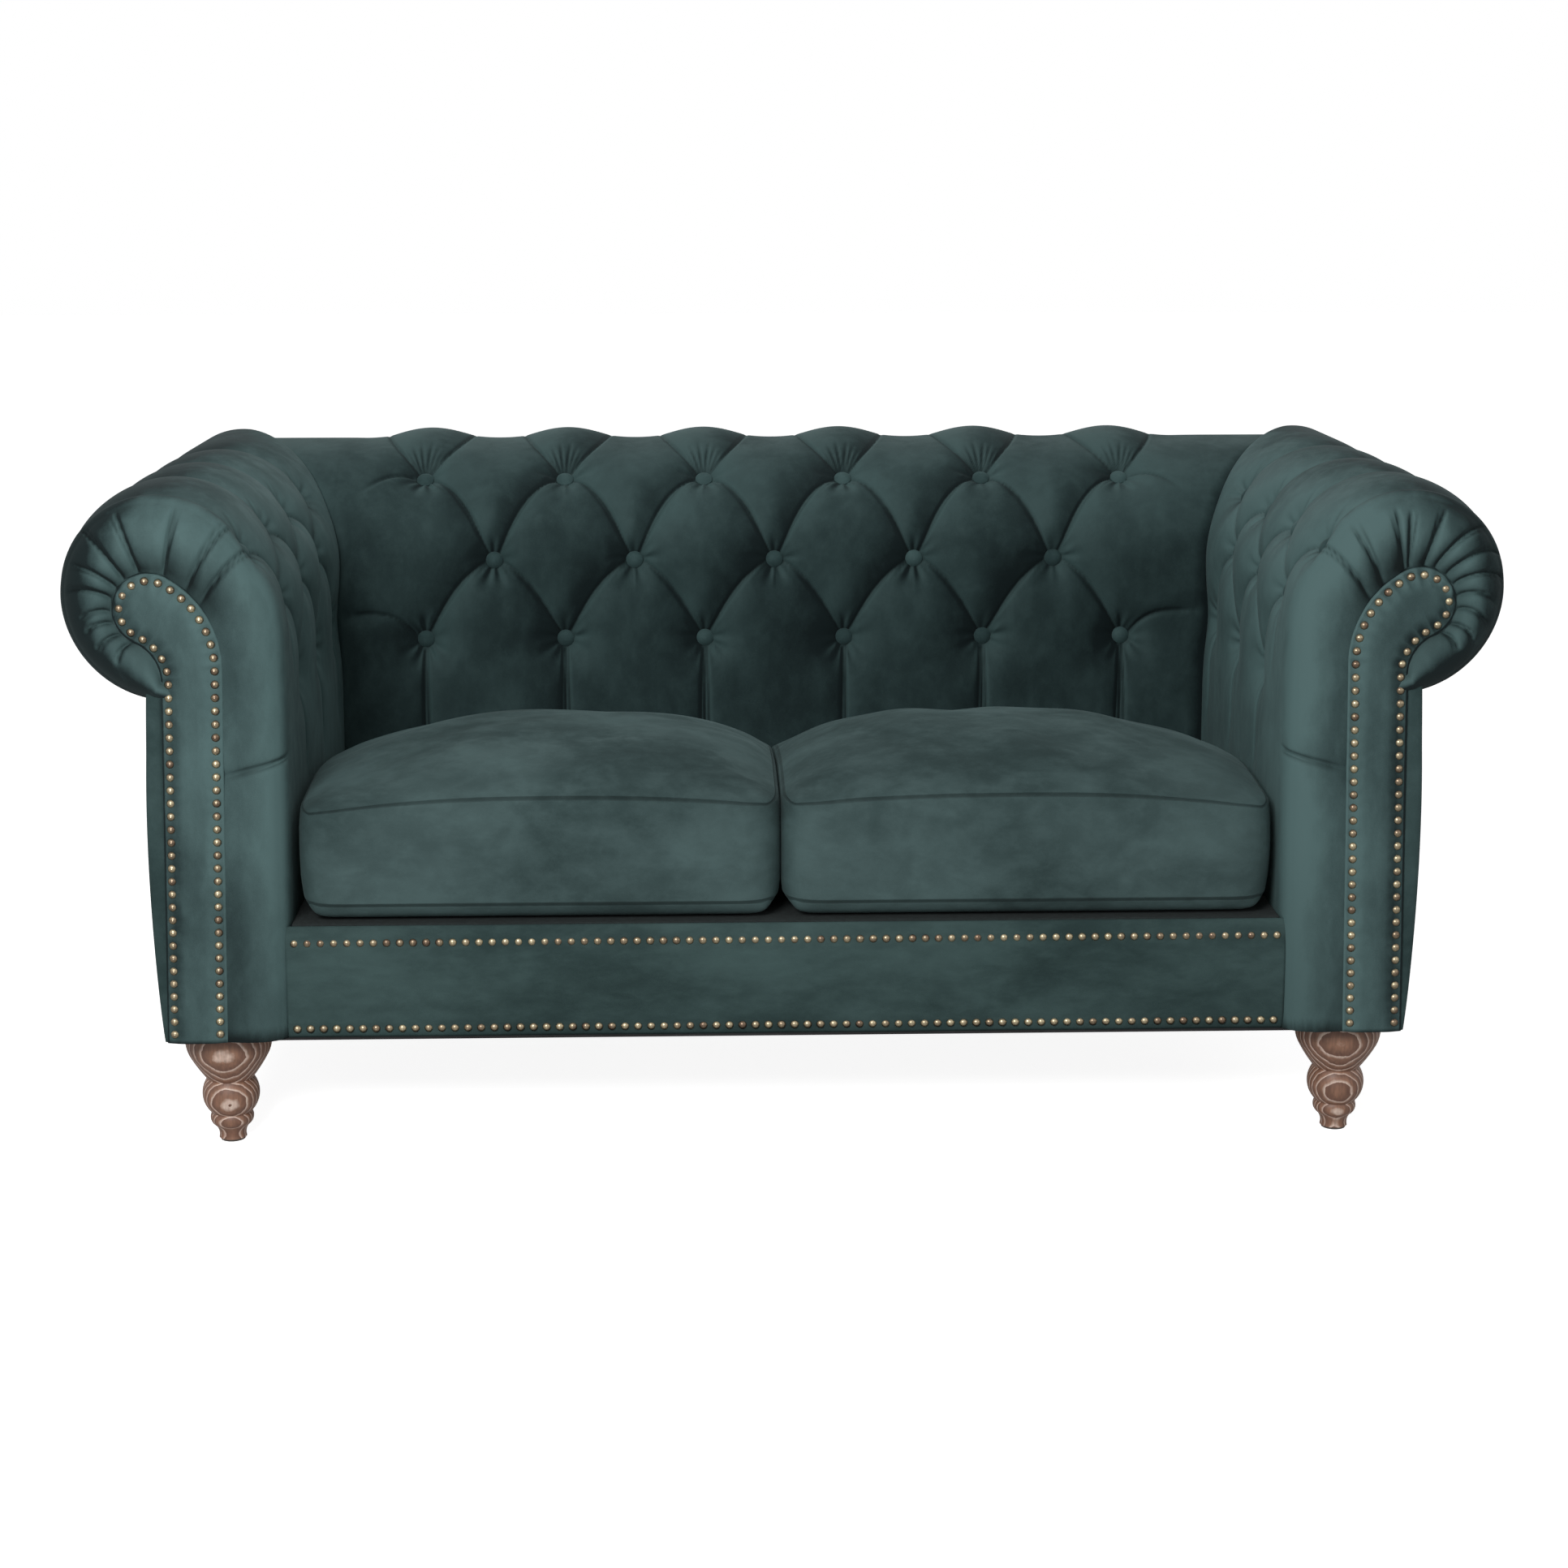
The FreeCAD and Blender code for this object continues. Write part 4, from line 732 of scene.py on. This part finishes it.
arm_under_z = float(arm_form.point(4.0)[1])
facing_rest_y, arm_wall_x = -0.4385, 0.6464
# Painted light: each arm's velvet is lighter on faces turned inward, forward and up and darker on
# its outer side; the two sides' velvets mirror each other.
arm_velvet = {side: velvet(side + "_arm_velvet", (0.0062, 0.0130, 0.0140), (0.076, 0.134, 0.134),
                           streak=(1.0, 1.0, 0.55), patches=0.62, lean=(lean, -0.72, 0.30),
                           painted_light_strength=1.45, level=0.62)
              for side, lean in (("right", -0.80), ("left", 0.70))}
for side, sign in (("right", 1), ("left", -1)):
    padding, skin = padded_arm(side)
    inner_x = neck_in_x + neck_lean + (arm_wall_x - neck_in_x - neck_lean) * ring_shares
    first_y, last_y = (np.maximum(skin[:, i, 1], facing_rest_y) for i in (0, -1))
    rear = np.stack([points_at(neck_middle_x, last_y, arm_under_z),
                     points_at(inner_x, first_y, arm_under_z),
                     points_at(inner_x, first_y, body_bottom_z)], axis=1)
    skin[..., 0] *= sign
    rear[..., 0] *= sign
    # painted shade: the lower part of each arm pad is darkened, most at the bottom and not at all
    # above 0.42 m
    low = 0.4 * (1 - smooth_step(0.15, 0.42, skin[..., 2]))
    pad = closed_tube(side + "_arm_velvet_pad", skin, rear,
                      np.maximum(padding.shade, low.reshape(-1)))
    dress(pad, side + "_inside_arm_pad", arm_velvet[side])

# Buttons are small tin moulds covered with the same velvet. Each is sunk into its pit by a
# twine that is tied off on the frame behind.

button_velvet = velvet("button_velvet", (0.017, 0.035, 0.036), (0.052, 0.098, 0.098))


def repaint(paint, *nodes):
    """Gives carried-over parts their finished material."""
    for node in nodes:
        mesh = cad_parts[node].data
        mesh.materials.clear()
        mesh.materials.append(paint)
        mesh.shade_smooth()


def each_side(*nodes):
    """The names of parts that both sides have."""
    return [side + "_" + node for node in nodes for side in ("left", "right")]


repaint(button_velvet, "back_buttons", *each_side("arm_buttons"))

# Each facing is a thin pad of velvet over board, shaped to the scroll and nailed round its
# edge, so that the cloth dimples at every nail.

facing_front_y = -0.4464
facing_back_y = -0.440


def nail_middles(node):
    """Middle of each nail's head in a carried-over group of nails."""
    form = bmesh.new()
    form.from_mesh(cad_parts[node].data)
    bmesh.ops.remove_doubles(form, verts=form.verts, dist=1e-6)
    left = set(form.verts)
    middles = []
    while left:
        front = [left.pop()]
        island = []
        while front:
            vertex = front.pop()
            island.append(vertex.co)
            for edge in vertex.link_edges:
                other = edge.other_vert(vertex)
                if other in left:
                    left.remove(other)
                    front.append(other)
        points = np.array(island)
        middles.append((points.max(axis=0) + points.min(axis=0)) / 2)
    form.free()
    return np.array(middles)


def nail_dimples(points, middles, depth, reach):
    """How far the cloth sinks round its nails."""
    sunk = np.zeros(len(points))
    for middle in middles:
        distance = np.hypot(points[:, 0] - middle[0], points[:, 2] - middle[2])
        sunk = np.maximum(sunk, depth * np.exp(-(distance / reach) ** 2))
    return sunk


def shaped_sheet(name, sheet, back_y):
    """A sheet of cloth through a grid of points, with its edge turned back to back_y."""
    form = grid_form(sheet, np.zeros(sheet.shape[:2]), 2e-5)
    rim = [edge for edge in form.edges if edge.is_boundary]
    for element in bmesh.ops.extrude_edge_only(form, edges=rim)["geom"]:
        if isinstance(element, bmesh.types.BMVert):
            element.co.y = back_y
    return closed(name, form)


facing_runs = np.linspace(0, 3, 260)
across = np.array([0, 0.04, 0.10, 0.17, 0.25, 0.33, 0.42, 0.5, 0.58, 0.67, 0.75, 0.83, 0.90, 0.96,
                   1.0])
for side, sign in (("right", 1), ("left", -1)):
    near_x, near_z = scroll_point(np.interp(facing_runs, range(4), (0, 1, 1.8, 2.65)), nail_margin)
    far_x, far_z = scroll_point(np.interp(facing_runs, range(4), (5, 4, 3.5, 2.65)), nail_margin)
    chord = np.hypot(far_x - near_x, far_z - near_z)
    edge_distance = chord[:, None] * np.minimum(across, 1 - across)
    sheet = points_at(near_x[:, None] + (far_x - near_x)[:, None] * across,
                      facing_front_y + 0.0004 - 0.0042 * rounded_rim(edge_distance, 0.020),
                      near_z[:, None] + (far_z - near_z)[:, None] * across)
    flat = sheet.reshape(-1, 3)
    nails = nail_middles(side + "_arm_nails") * (sign, 1, 1)
    flat[:, 1] += nail_dimples(flat, nails, depth=0.0030, reach=0.0085)
    sheet[..., 0] *= sign
    facing = shaped_sheet(side + "_arm_facing_velvet", sheet, facing_back_y)
    dress(facing, side + "_arm_facing", arm_velvet[side])

# The front border is velvet over a thin felt on the seat rail, held by two rows of nails.
# It lies between the front pads of the arms, under the cushions.

border_low_z, border_high_z = 0.150, 0.290
border_half = 0.607
border_front_y, border_back_y = -0.430, -0.427
columns = np.linspace(-border_half, border_half, 401)
rows = np.linspace(border_low_z, border_high_z, 47)
rim_distance = np.minimum(rows - border_low_z, border_high_z - rows)
waves = 0.0006 * np.sin(columns[:, None] * 23.0 + rows * 31.0)
sheet = points_at(columns[:, None], border_front_y + 0.0012 - waves
                  - 0.0032 * rounded_rim(rim_distance, 0.022), rows)
flat = sheet.reshape(-1, 3)
border_nails = np.concatenate([nail_middles(f"front_{row}_nails") for row in ("lower", "upper")])
flat[:, 1] += nail_dimples(flat, border_nails, depth=0.0016, reach=0.0075)
border = shaped_sheet("front_border_velvet", sheet, border_back_y)
border_velvet = velvet("border_velvet", (0.011, 0.023, 0.023), (0.046, 0.084, 0.082),
                       streak=(0.6, 1.0, 1.3), patches=0.8)
dress(border, "front_border", border_velvet)

# The outside of each arm and the back is velvet drawn over board, slightly bulged, and
# tacked under the roll and under the frame.

outside_velvet = velvet("outside_velvet", (0.014, 0.029, 0.029), (0.047, 0.085, 0.084),
                        streak=(1.0, 0.6, 1.0), patches=0.8)
panel_high_z = 0.5654
outside_x, outside_edge_x, outside_bulge = 0.750, 0.753, 0.009
outside_front_y, outside_back_y = -0.443, 0.345
ys = np.linspace(outside_front_y, outside_back_y, 120)
zs = np.linspace(body_bottom_z, panel_high_z, 70)
turned_x = np.array([0.7372, 0.7372, 0.742, 0.748, 0.7516])
turned_y = np.array([-0.4402, -0.4428, -0.4432, -0.4432, -0.4418])
for side, sign in (("right", 1), ("left", -1)):
    up = (zs - body_bottom_z) / (panel_high_z - body_bottom_z)
    along = (ys - outside_front_y) / (outside_back_y - outside_front_y)
    bulge = 0.001 + outside_bulge * (4 * up * (1 - up))[:, None] ** 0.9
    ripple = 0.0007 * np.sin(ys[None, :] * 19.0 + zs[:, None] * 6.0) * np.sin(up * math.pi)[:, None]
    sheet = np.empty((len(zs), len(turned_x) + len(ys), 3))
    sheet[:, :len(turned_x), 0] = turned_x + np.array([0, 0, 0.4, 0.85, 1.0]) * bulge
    sheet[:, :len(turned_x), 1] = turned_y
    sheet[:, len(turned_x):, 0] = outside_edge_x + bulge + ripple
    sheet[:, len(turned_x):, 1] = ys + 0.003 * (1 - along)
    sheet[..., 2] = zs[:, None]
    under_head = 0.030 * (1 - smooth_step(-0.425, -0.390, sheet[..., 1]))
    sheet[..., 2] += under_head * smooth_step(0.50, panel_high_z, sheet[..., 2])
    back_wall = np.empty((len(zs), 2, 3))
    back_wall[:, 0, :2] = outside_x, outside_back_y
    back_wall[:, 1, :2] = outside_x, -0.4402
    back_wall[..., 2] = sheet[:, (-1, 0), 2]
    sheet[..., 0] *= sign
    back_wall[..., 0] *= sign
    panel = closed_tube(side + "_outside_arm_velvet", sheet, back_wall, np.zeros(sheet.shape[:2]))
    dress(panel, side + "_outside_arm_panel", outside_velvet)

back_panel_high_z, back_panel_edge = 0.5663, 0.750
xs = np.linspace(-back_panel_edge, back_panel_edge, 150)
zs = np.linspace(body_bottom_z, back_panel_high_z, 60)
up = (zs - body_bottom_z) / (back_panel_high_z - body_bottom_z)
bulge = 0.002 * rounded_rim(back_panel_edge - np.abs(xs), 0.03)[:, None] * \
    np.sin(up * math.pi) ** 0.7
ripple = 0.0005 * np.sin(xs[:, None] * 15.0) * np.sin(up * math.pi)
sheet = points_at(xs[:, None], 0.348 + bulge + ripple, zs)
panel = shaped_sheet("outside_back_velvet", sheet, outside_back_y)
dress(panel, "outside_back_panel", outside_velvet)

# The two seat cushions are loose velvet boxes round foam and feather. A top and a bottom
# panel are seamed to a boxing strip, and the filling crowns the top and swells the sides.

cushion_base_z = 0.2923
lower_seam, upper_seam = 0.025, 0.155
cushion_front_y, cushion_back_y = -0.436, 0.118
cushion_corner = 0.046
highest, crown_rise = 0.209, 0.054
back_sink = 0.052               # the filling settles towards the back
most_swelling = 0.008
# Height above the base at a distance in from the edge of the bottom panel
underside = ((0.0, 0.005, 0.012, 0.022, 0.034, 0.048), (0.025, 0.0165, 0.0090, 0.0035, 0.0010, 0.0))

# Painted light: the cushion velvet is a little lighter on faces turned forward and up.
cushion_velvet = velvet("cushion_velvet", (0.015, 0.029, 0.029), (0.058, 0.098, 0.098),
                        streak=(0.7, 1.0, 1.0), patches=0.95, lean=(-0.1, -0.8, 0.3),
                        painted_light_strength=0.25, level=0.4)
tree = cushion_velvet.node_tree
shader = tree.nodes["Principled BSDF"]
# The sewn seams show as a shadow and a fine ridge
seam = add_node(tree, "Attribute", attribute_name="seam").outputs["Fac"]
seam_line = add_node(tree, "MapRange", {0: seam, 1: 0.0004, 2: 0.0024, 3: 1.0, 4: 0.0},
                     interpolation_type="SMOOTHSTEP").outputs[0]
ridge = add_node(tree, "Bump", {"Strength": 0.8, "Distance": 0.002, "Height": seam_line,
                                "Normal": shader.inputs["Normal"].links[0].from_socket},
                 invert=True)
plain = shader.inputs["Base Color"].links[0].from_socket
feed(tree, shader, {"Base Color": blend(tree, "MULTIPLY", seam_line, plain, (0.42, 0.46, 0.46, 1)),
                    "Normal": ridge.outputs["Normal"]})


def rounded_square(square, halves):
    """Point of a rounded rectangle that answers to a point of a square."""
    point = square * halves
    inner = halves - cushion_corner
    over = np.maximum(np.abs(point) - inner, 0)
    over *= min(cushion_corner / max(math.hypot(*over), 1e-9), 1)
    return np.sign(point) * (np.minimum(np.abs(point), inner) + over)


def points_of(mesh):
    """The places of a mesh's points."""
    points = np.empty(len(mesh.vertices) * 3)
    mesh.vertices.foreach_get("co", points)
    return points.reshape(-1, 3)


def swollen(cushion, held, start):
    """Blows the cushion up as cloth held at its seams, each point by the most swelling allowed."""
    group = cushion.vertex_groups.new(name="held")
    group.add([i for i, weight in enumerate(held) if weight], 1.0, "REPLACE")
    cloth = cushion.modifiers.new("filling", "CLOTH")
    settings = cloth.settings
    settings.use_pressure, settings.uniform_pressure_force = True, 4.0
    settings.vertex_group_mass = "held"
    settings.effector_weights.gravity = 0.0
    settings.quality = 6
    cloth.point_cache.frame_start, cloth.point_cache.frame_end = 1, 20
    for number in range(1, 21):
        bpy.context.scene.frame_set(number)
    blown = cushion.evaluated_get(bpy.context.evaluated_depsgraph_get())
    shift = points_of(blown.to_mesh()) - start
    blown.to_mesh_clear()
    cushion.modifiers.remove(cloth)
    bpy.context.scene.frame_set(1)
    reach = np.linalg.norm(shift, axis=1, keepdims=True)
    return start + shift * np.minimum(1, most_swelling / np.maximum(reach, 1e-9))


def seat_cushion(side, low_x, high_x, seed):
    """A cube divided into a fine grid, shaped to the cushion, then blown up as cloth."""
    rng = np.random.default_rng(seed)
    middle = np.array([low_x + high_x, cushion_front_y + cushion_back_y]) / 2
    halves = np.array([high_x - low_x, cushion_back_y - cushion_front_y]) / 2 - 0.002
    form = bmesh.new()
    bmesh.ops.create_cube(form, size=2.0)
    bmesh.ops.subdivide_edges(form, edges=form.edges, cuts=39, use_grid_fill=True)
    seams = form.verts.layers.float.new("seam")
    folds = form.verts.layers.float.new("painted_shade")
    held = []
    for vertex in form.verts:
        u, v, w = vertex.co
        top, bottom = w > 0.999, w < -0.999
        rim = max(abs(u), abs(v))
        outward = u if side == "right" else -u
        place = rounded_square(np.array([u, v]), halves)
        if top or bottom:
            inward = (1 - rim) * min(halves)
            vertex[seams] = inward
            height = float(np.interp(inward, *underside))
            if top:
                fall_x = (1 - abs(u) ** (2.0 if outward > 0 else 3.6)) ** 0.95
                fall_y = (1 - abs(v) ** (2.9 if v < 0 else 1.6)) ** (0.85 if v < 0 else 1.0)
                edge = 1 - (1 - min(inward / 0.03, 1)) ** 2
                height = upper_seam + 0.006 * edge + crown_rise * fall_x * fall_y
        else:
            height = lower_seam + (upper_seam - lower_seam) * (w + 1) / 2
            vertex[seams] = min(height - lower_seam, upper_seam - height)
            place *= 1 + 0.004 * math.sin(math.pi * (w + 1) / 2) / halves
        above = max(height - lower_seam, 0) / (upper_seam - lower_seam)
        height -= above * (0.012 * abs(u * v) ** 2.5 + back_sink * max((v + 0.35) / 1.35, 0) ** 1.4
                           + 0.008 * max(outward, 0) ** 2)
        vertex.co = (*(middle + place), cushion_base_z + height)
        held.append(1.0 if vertex[seams] < 1e-4 or bottom and rim < 0.9 else 0.0)
    cushion = finished(side + "_seat_cushion_velvet", form)
    start = points_of(cushion.data)
    start = swollen(cushion, held, start)
    waves = sum(amount * np.sin(start @ rng.normal(0, pace, 3) + rng.uniform(0, 6))
                for amount, pace in ((0.0016, 14), (0.0012, 24), (0.0008, 40)))
    seam_reach = np.empty(len(start))
    cushion.data.attributes["seam"].data.foreach_get("value", seam_reach)
    on_top = start[:, 2] > cushion_base_z + upper_seam
    start[:, 2] += waves * np.clip(seam_reach / 0.03, 0, 1) * on_top
    start = np.clip(start, (low_x - 0.0005, cushion_front_y - 0.004, cushion_base_z),
                    (high_x + 0.0005, cushion_back_y + 0.002, cushion_base_z + highest + 0.008))
    cushion.data.vertices.foreach_set("co", start.reshape(-1))
    smooth = cushion.modifiers.new("smooth", "SUBSURF")
    smooth.levels = smooth.render_levels = 2
    foam = cushion.copy()
    foam.data = cushion.data.copy()
    foam.name = foam.data.name = side + "_cushion_foam"
    bpy.context.collection.objects.link(foam)
    centre = np.array([*middle, cushion_base_z + highest / 2])
    inside = centre + (start - centre) * (0.984, 0.984, 0.955)
    inside[:, 1] = np.minimum(inside[:, 1], 0.107)
    foam.data.vertices.foreach_set("co", inside.reshape(-1))
    foam.modifiers["smooth"].levels = foam.modifiers["smooth"].render_levels = 0
    dress(foam, side + "_seat_cushion_core", cushion_foam, side + "_cushion")
    dress(cushion, side + "_seat_cushion_cover", cushion_velvet, side + "_cushion")


def ramp(tree, value, *stops):
    """The colour that a value picks from stops, each a position and a colour."""
    node = add_node(tree, "ValToRGB", {0: value})
    first, *between, last = stops
    for element, (position, colour) in zip(node.color_ramp.elements, (first, last)):
        element.position, element.color = position, (*colour, 1)
    for position, colour in between:
        node.color_ramp.elements.new(position).color = (*colour, 1)
    return node.outputs[0]


def varied(tree, value, low, high):
    """A value spread between two limits."""
    return add_node(tree, "MapRange", {0: value, 3: low, 4: high}).outputs[0]


def plain_finish(name, dark, light, scale, stretch=(1, 1, 1), roughness=(0.5, 0.8), metallic=0.0,
                 bump_height=0.0004):
    """A finish of one kind whose colour and gloss vary with a stretched grain."""
    paint, tree, shader = new_paint(name)
    place = add_node(tree, "TexCoord").outputs["Object"]
    along = add_node(tree, "Mapping", {"Vector": place, "Scale": stretch}).outputs[0]
    grain = add_node(tree, "TexNoise", {"Vector": along, "Scale": scale, "Detail": 4.0}).outputs[0]
    bump = add_node(tree, "Bump", {"Strength": 0.4, "Distance": bump_height, "Height": grain})
    feed(tree, shader, {"Base Color": ramp(tree, grain, (0.32, dark), (0.70, light)),
                        "Roughness": varied(tree, grain, *roughness),
                        "Normal": bump.outputs["Normal"], "Metallic": metallic})
    return paint


cushion_foam = plain_finish("cushion_foam", (0.55, 0.48, 0.30), (0.74, 0.68, 0.50), 420.0,
                            roughness=(0.85, 1.0), bump_height=0.0006)
seat_cushion("left", -0.5892, -0.0084, 3)
seat_cushion("right", -0.0076, 0.5892, 8)

# Round-headed nails of antique brass hold the velvet. Their lacquer is a little darker or
# paler from nail to nail, and worn in specks.

nail_brass, tree, shader = new_paint("nail_brass")
place = add_node(tree, "TexCoord").outputs["Object"]
tone = add_node(tree, "TexNoise", {"Vector": place, "Scale": 42.0}).outputs[0]
worn = add_node(tree, "TexNoise", {"Vector": place, "Scale": 900.0}).outputs[0]
brass = ramp(tree, tone, (0.36, (0.20, 0.145, 0.105)), (0.62, (0.50, 0.43, 0.29)))
feed(tree, shader, {"Base Color": blend(tree, "MULTIPLY", worn, brass, (0.45, 0.42, 0.38, 1)),
                    "Roughness": varied(tree, worn, 0.24, 0.46), "Metallic": 1.0})
repaint(nail_brass, *each_side("arm_nails"), "front_lower_nails", "front_upper_nails")

# The four feet are turned oak, stained brown and limed, so that the open grain shows white
# rings and arches.


def limed_oak(name, heart):
    """Brown oak, filled with white in the growth rings round a heart well behind the foot."""
    paint, tree, shader = new_paint(name)
    place = add_node(tree, "TexCoord").outputs["Object"]
    about = add_node(tree, "Mapping", {"Vector": place, "Location": heart,
                                       "Rotation": (0.18, 0.10, 0.0)}, vector_type="TEXTURE")
    rings = add_node(tree, "TexWave", {"Vector": about.outputs[0], "Scale": 58.0,
                                       "Distortion": 1.7, "Detail": 2.0, "Detail Scale": 1.4},
                     wave_type="RINGS", rings_direction="Z", wave_profile="SAW").outputs["Fac"]
    filled = ramp(tree, rings, (0.18, (0.165, 0.080, 0.052)), (0.70, (0.26, 0.135, 0.085)),
                  (0.92, (0.62, 0.47, 0.39)))
    stretched = add_node(tree, "Mapping", {"Vector": place, "Scale": (6.0, 6.0, 0.8)}).outputs[0]
    pores = add_node(tree, "TexNoise", {"Vector": stretched, "Scale": 60.0,
                                        "Detail": 4.0}).outputs[0]
    bump = add_node(tree, "Bump", {"Strength": 0.3, "Distance": 0.0006, "Height": rings})
    feed(tree, shader, {"Base Color": blend(tree, "OVERLAY", 0.55, filled, pores),
                        "Roughness": varied(tree, pores, 0.36, 0.62),
                        "Normal": bump.outputs["Normal"]})
    return paint


for node, heart in (("front_left_foot", (-0.700, -0.245, 0.06)),
                    ("front_right_foot", (0.702, -0.255, 0.10)),
                    ("rear_left_foot", (-0.690, 0.420, 0.08)),
                    ("rear_right_foot", (0.684, 0.410, 0.05))):
    repaint(limed_oak(node + "_oak", heart), node)

# Inside, the frame is pale beech and pine rails, sawn and screwed, under webbing, serpentine
# springs, a felt deck and a black cloth that closes the bottom.


def woven(name, dark, light, pitch):
    """Cloth of crossed threads, pitch metres apart, under a soft stain."""
    paint = plain_finish(name, dark, light, 30.0, roughness=(0.75, 0.95))
    tree = paint.node_tree
    base = tree.nodes["Principled BSDF"].inputs["Base Color"]
    place = add_node(tree, "TexCoord").outputs["Object"]
    threads = add_node(tree, "TexChecker", {"Vector": place, "Scale": 1 / pitch,
                                            "Color1": (1, 1, 1, 1),
                                            "Color2": (0.35, 0.35, 0.35, 1)}).outputs["Color"]
    tree.links.new(blend(tree, "MULTIPLY", 0.45, base.links[0].from_socket, threads), base)
    return paint


standing_beech, lying_beech, deep_beech = (
    plain_finish("frame_beech" + name, (0.46, 0.29, 0.16), (0.66, 0.47, 0.29), 14.0, stretch)
    for name, stretch in (("", (1, 1, 9)), ("_lying", (0.7, 9, 9)), ("_deep", (9, 0.7, 9))))
spring_wire = plain_finish("spring_wire", (0.20, 0.20, 0.21), (0.42, 0.42, 0.43), 60.0,
                           roughness=(0.3, 0.5), metallic=1.0)
jute = woven("webbing_jute", (0.20, 0.13, 0.07), (0.36, 0.26, 0.15), 0.0024)
# The deck felt is near black, as painted shade where it shows between the cushions and the front
# border.
felt = plain_finish("deck_felt", (0.004, 0.008, 0.008), (0.012, 0.019, 0.019), 160.0,
                    roughness=(0.85, 1.0), bump_height=0.0008)
bottom_cloth = woven("bottom_cloth", (0.006, 0.006, 0.007), (0.020, 0.020, 0.022), 0.0016)
glide = plain_finish("glide_nylon", (0.05, 0.045, 0.04), (0.10, 0.09, 0.08), 240.0,
                     roughness=(0.35, 0.55))
zip_cloth = woven("zip_cloth", (0.010, 0.020, 0.020), (0.030, 0.050, 0.048), 0.0012)
zip_alloy = plain_finish("zip_alloy", (0.30, 0.27, 0.20), (0.55, 0.50, 0.38), 300.0,
                         roughness=(0.25, 0.45), metallic=1.0)
finishes = {
    standing_beech: each_side("arm_front_post", "arm_rear_post") + ["back_uprights", "foot_blocks"],
    lying_beech: ("front_seat_rail", "rear_seat_rail", "back_top_rail", "back_tack_rails"),
    deep_beech: each_side("arm_top_rail", "side_seat_rail", "arm_base_rail", "arm_tack_rails")
    + ["centre_stretcher"],
    spring_wire: ("seat_springs", "spring_clips", "foot_plates", "foot_bolts"),
    jute: each_side("arm_webbing") + ["back_webbing"],
    felt: ("seat_deck_pad",), bottom_cloth: ("dust_cover",), glide: ("foot_glides",),
    zip_cloth: each_side("cushion_zip"), zip_alloy: each_side("zip_slider")}
for paint, nodes in finishes.items():
    repaint(paint, *nodes)
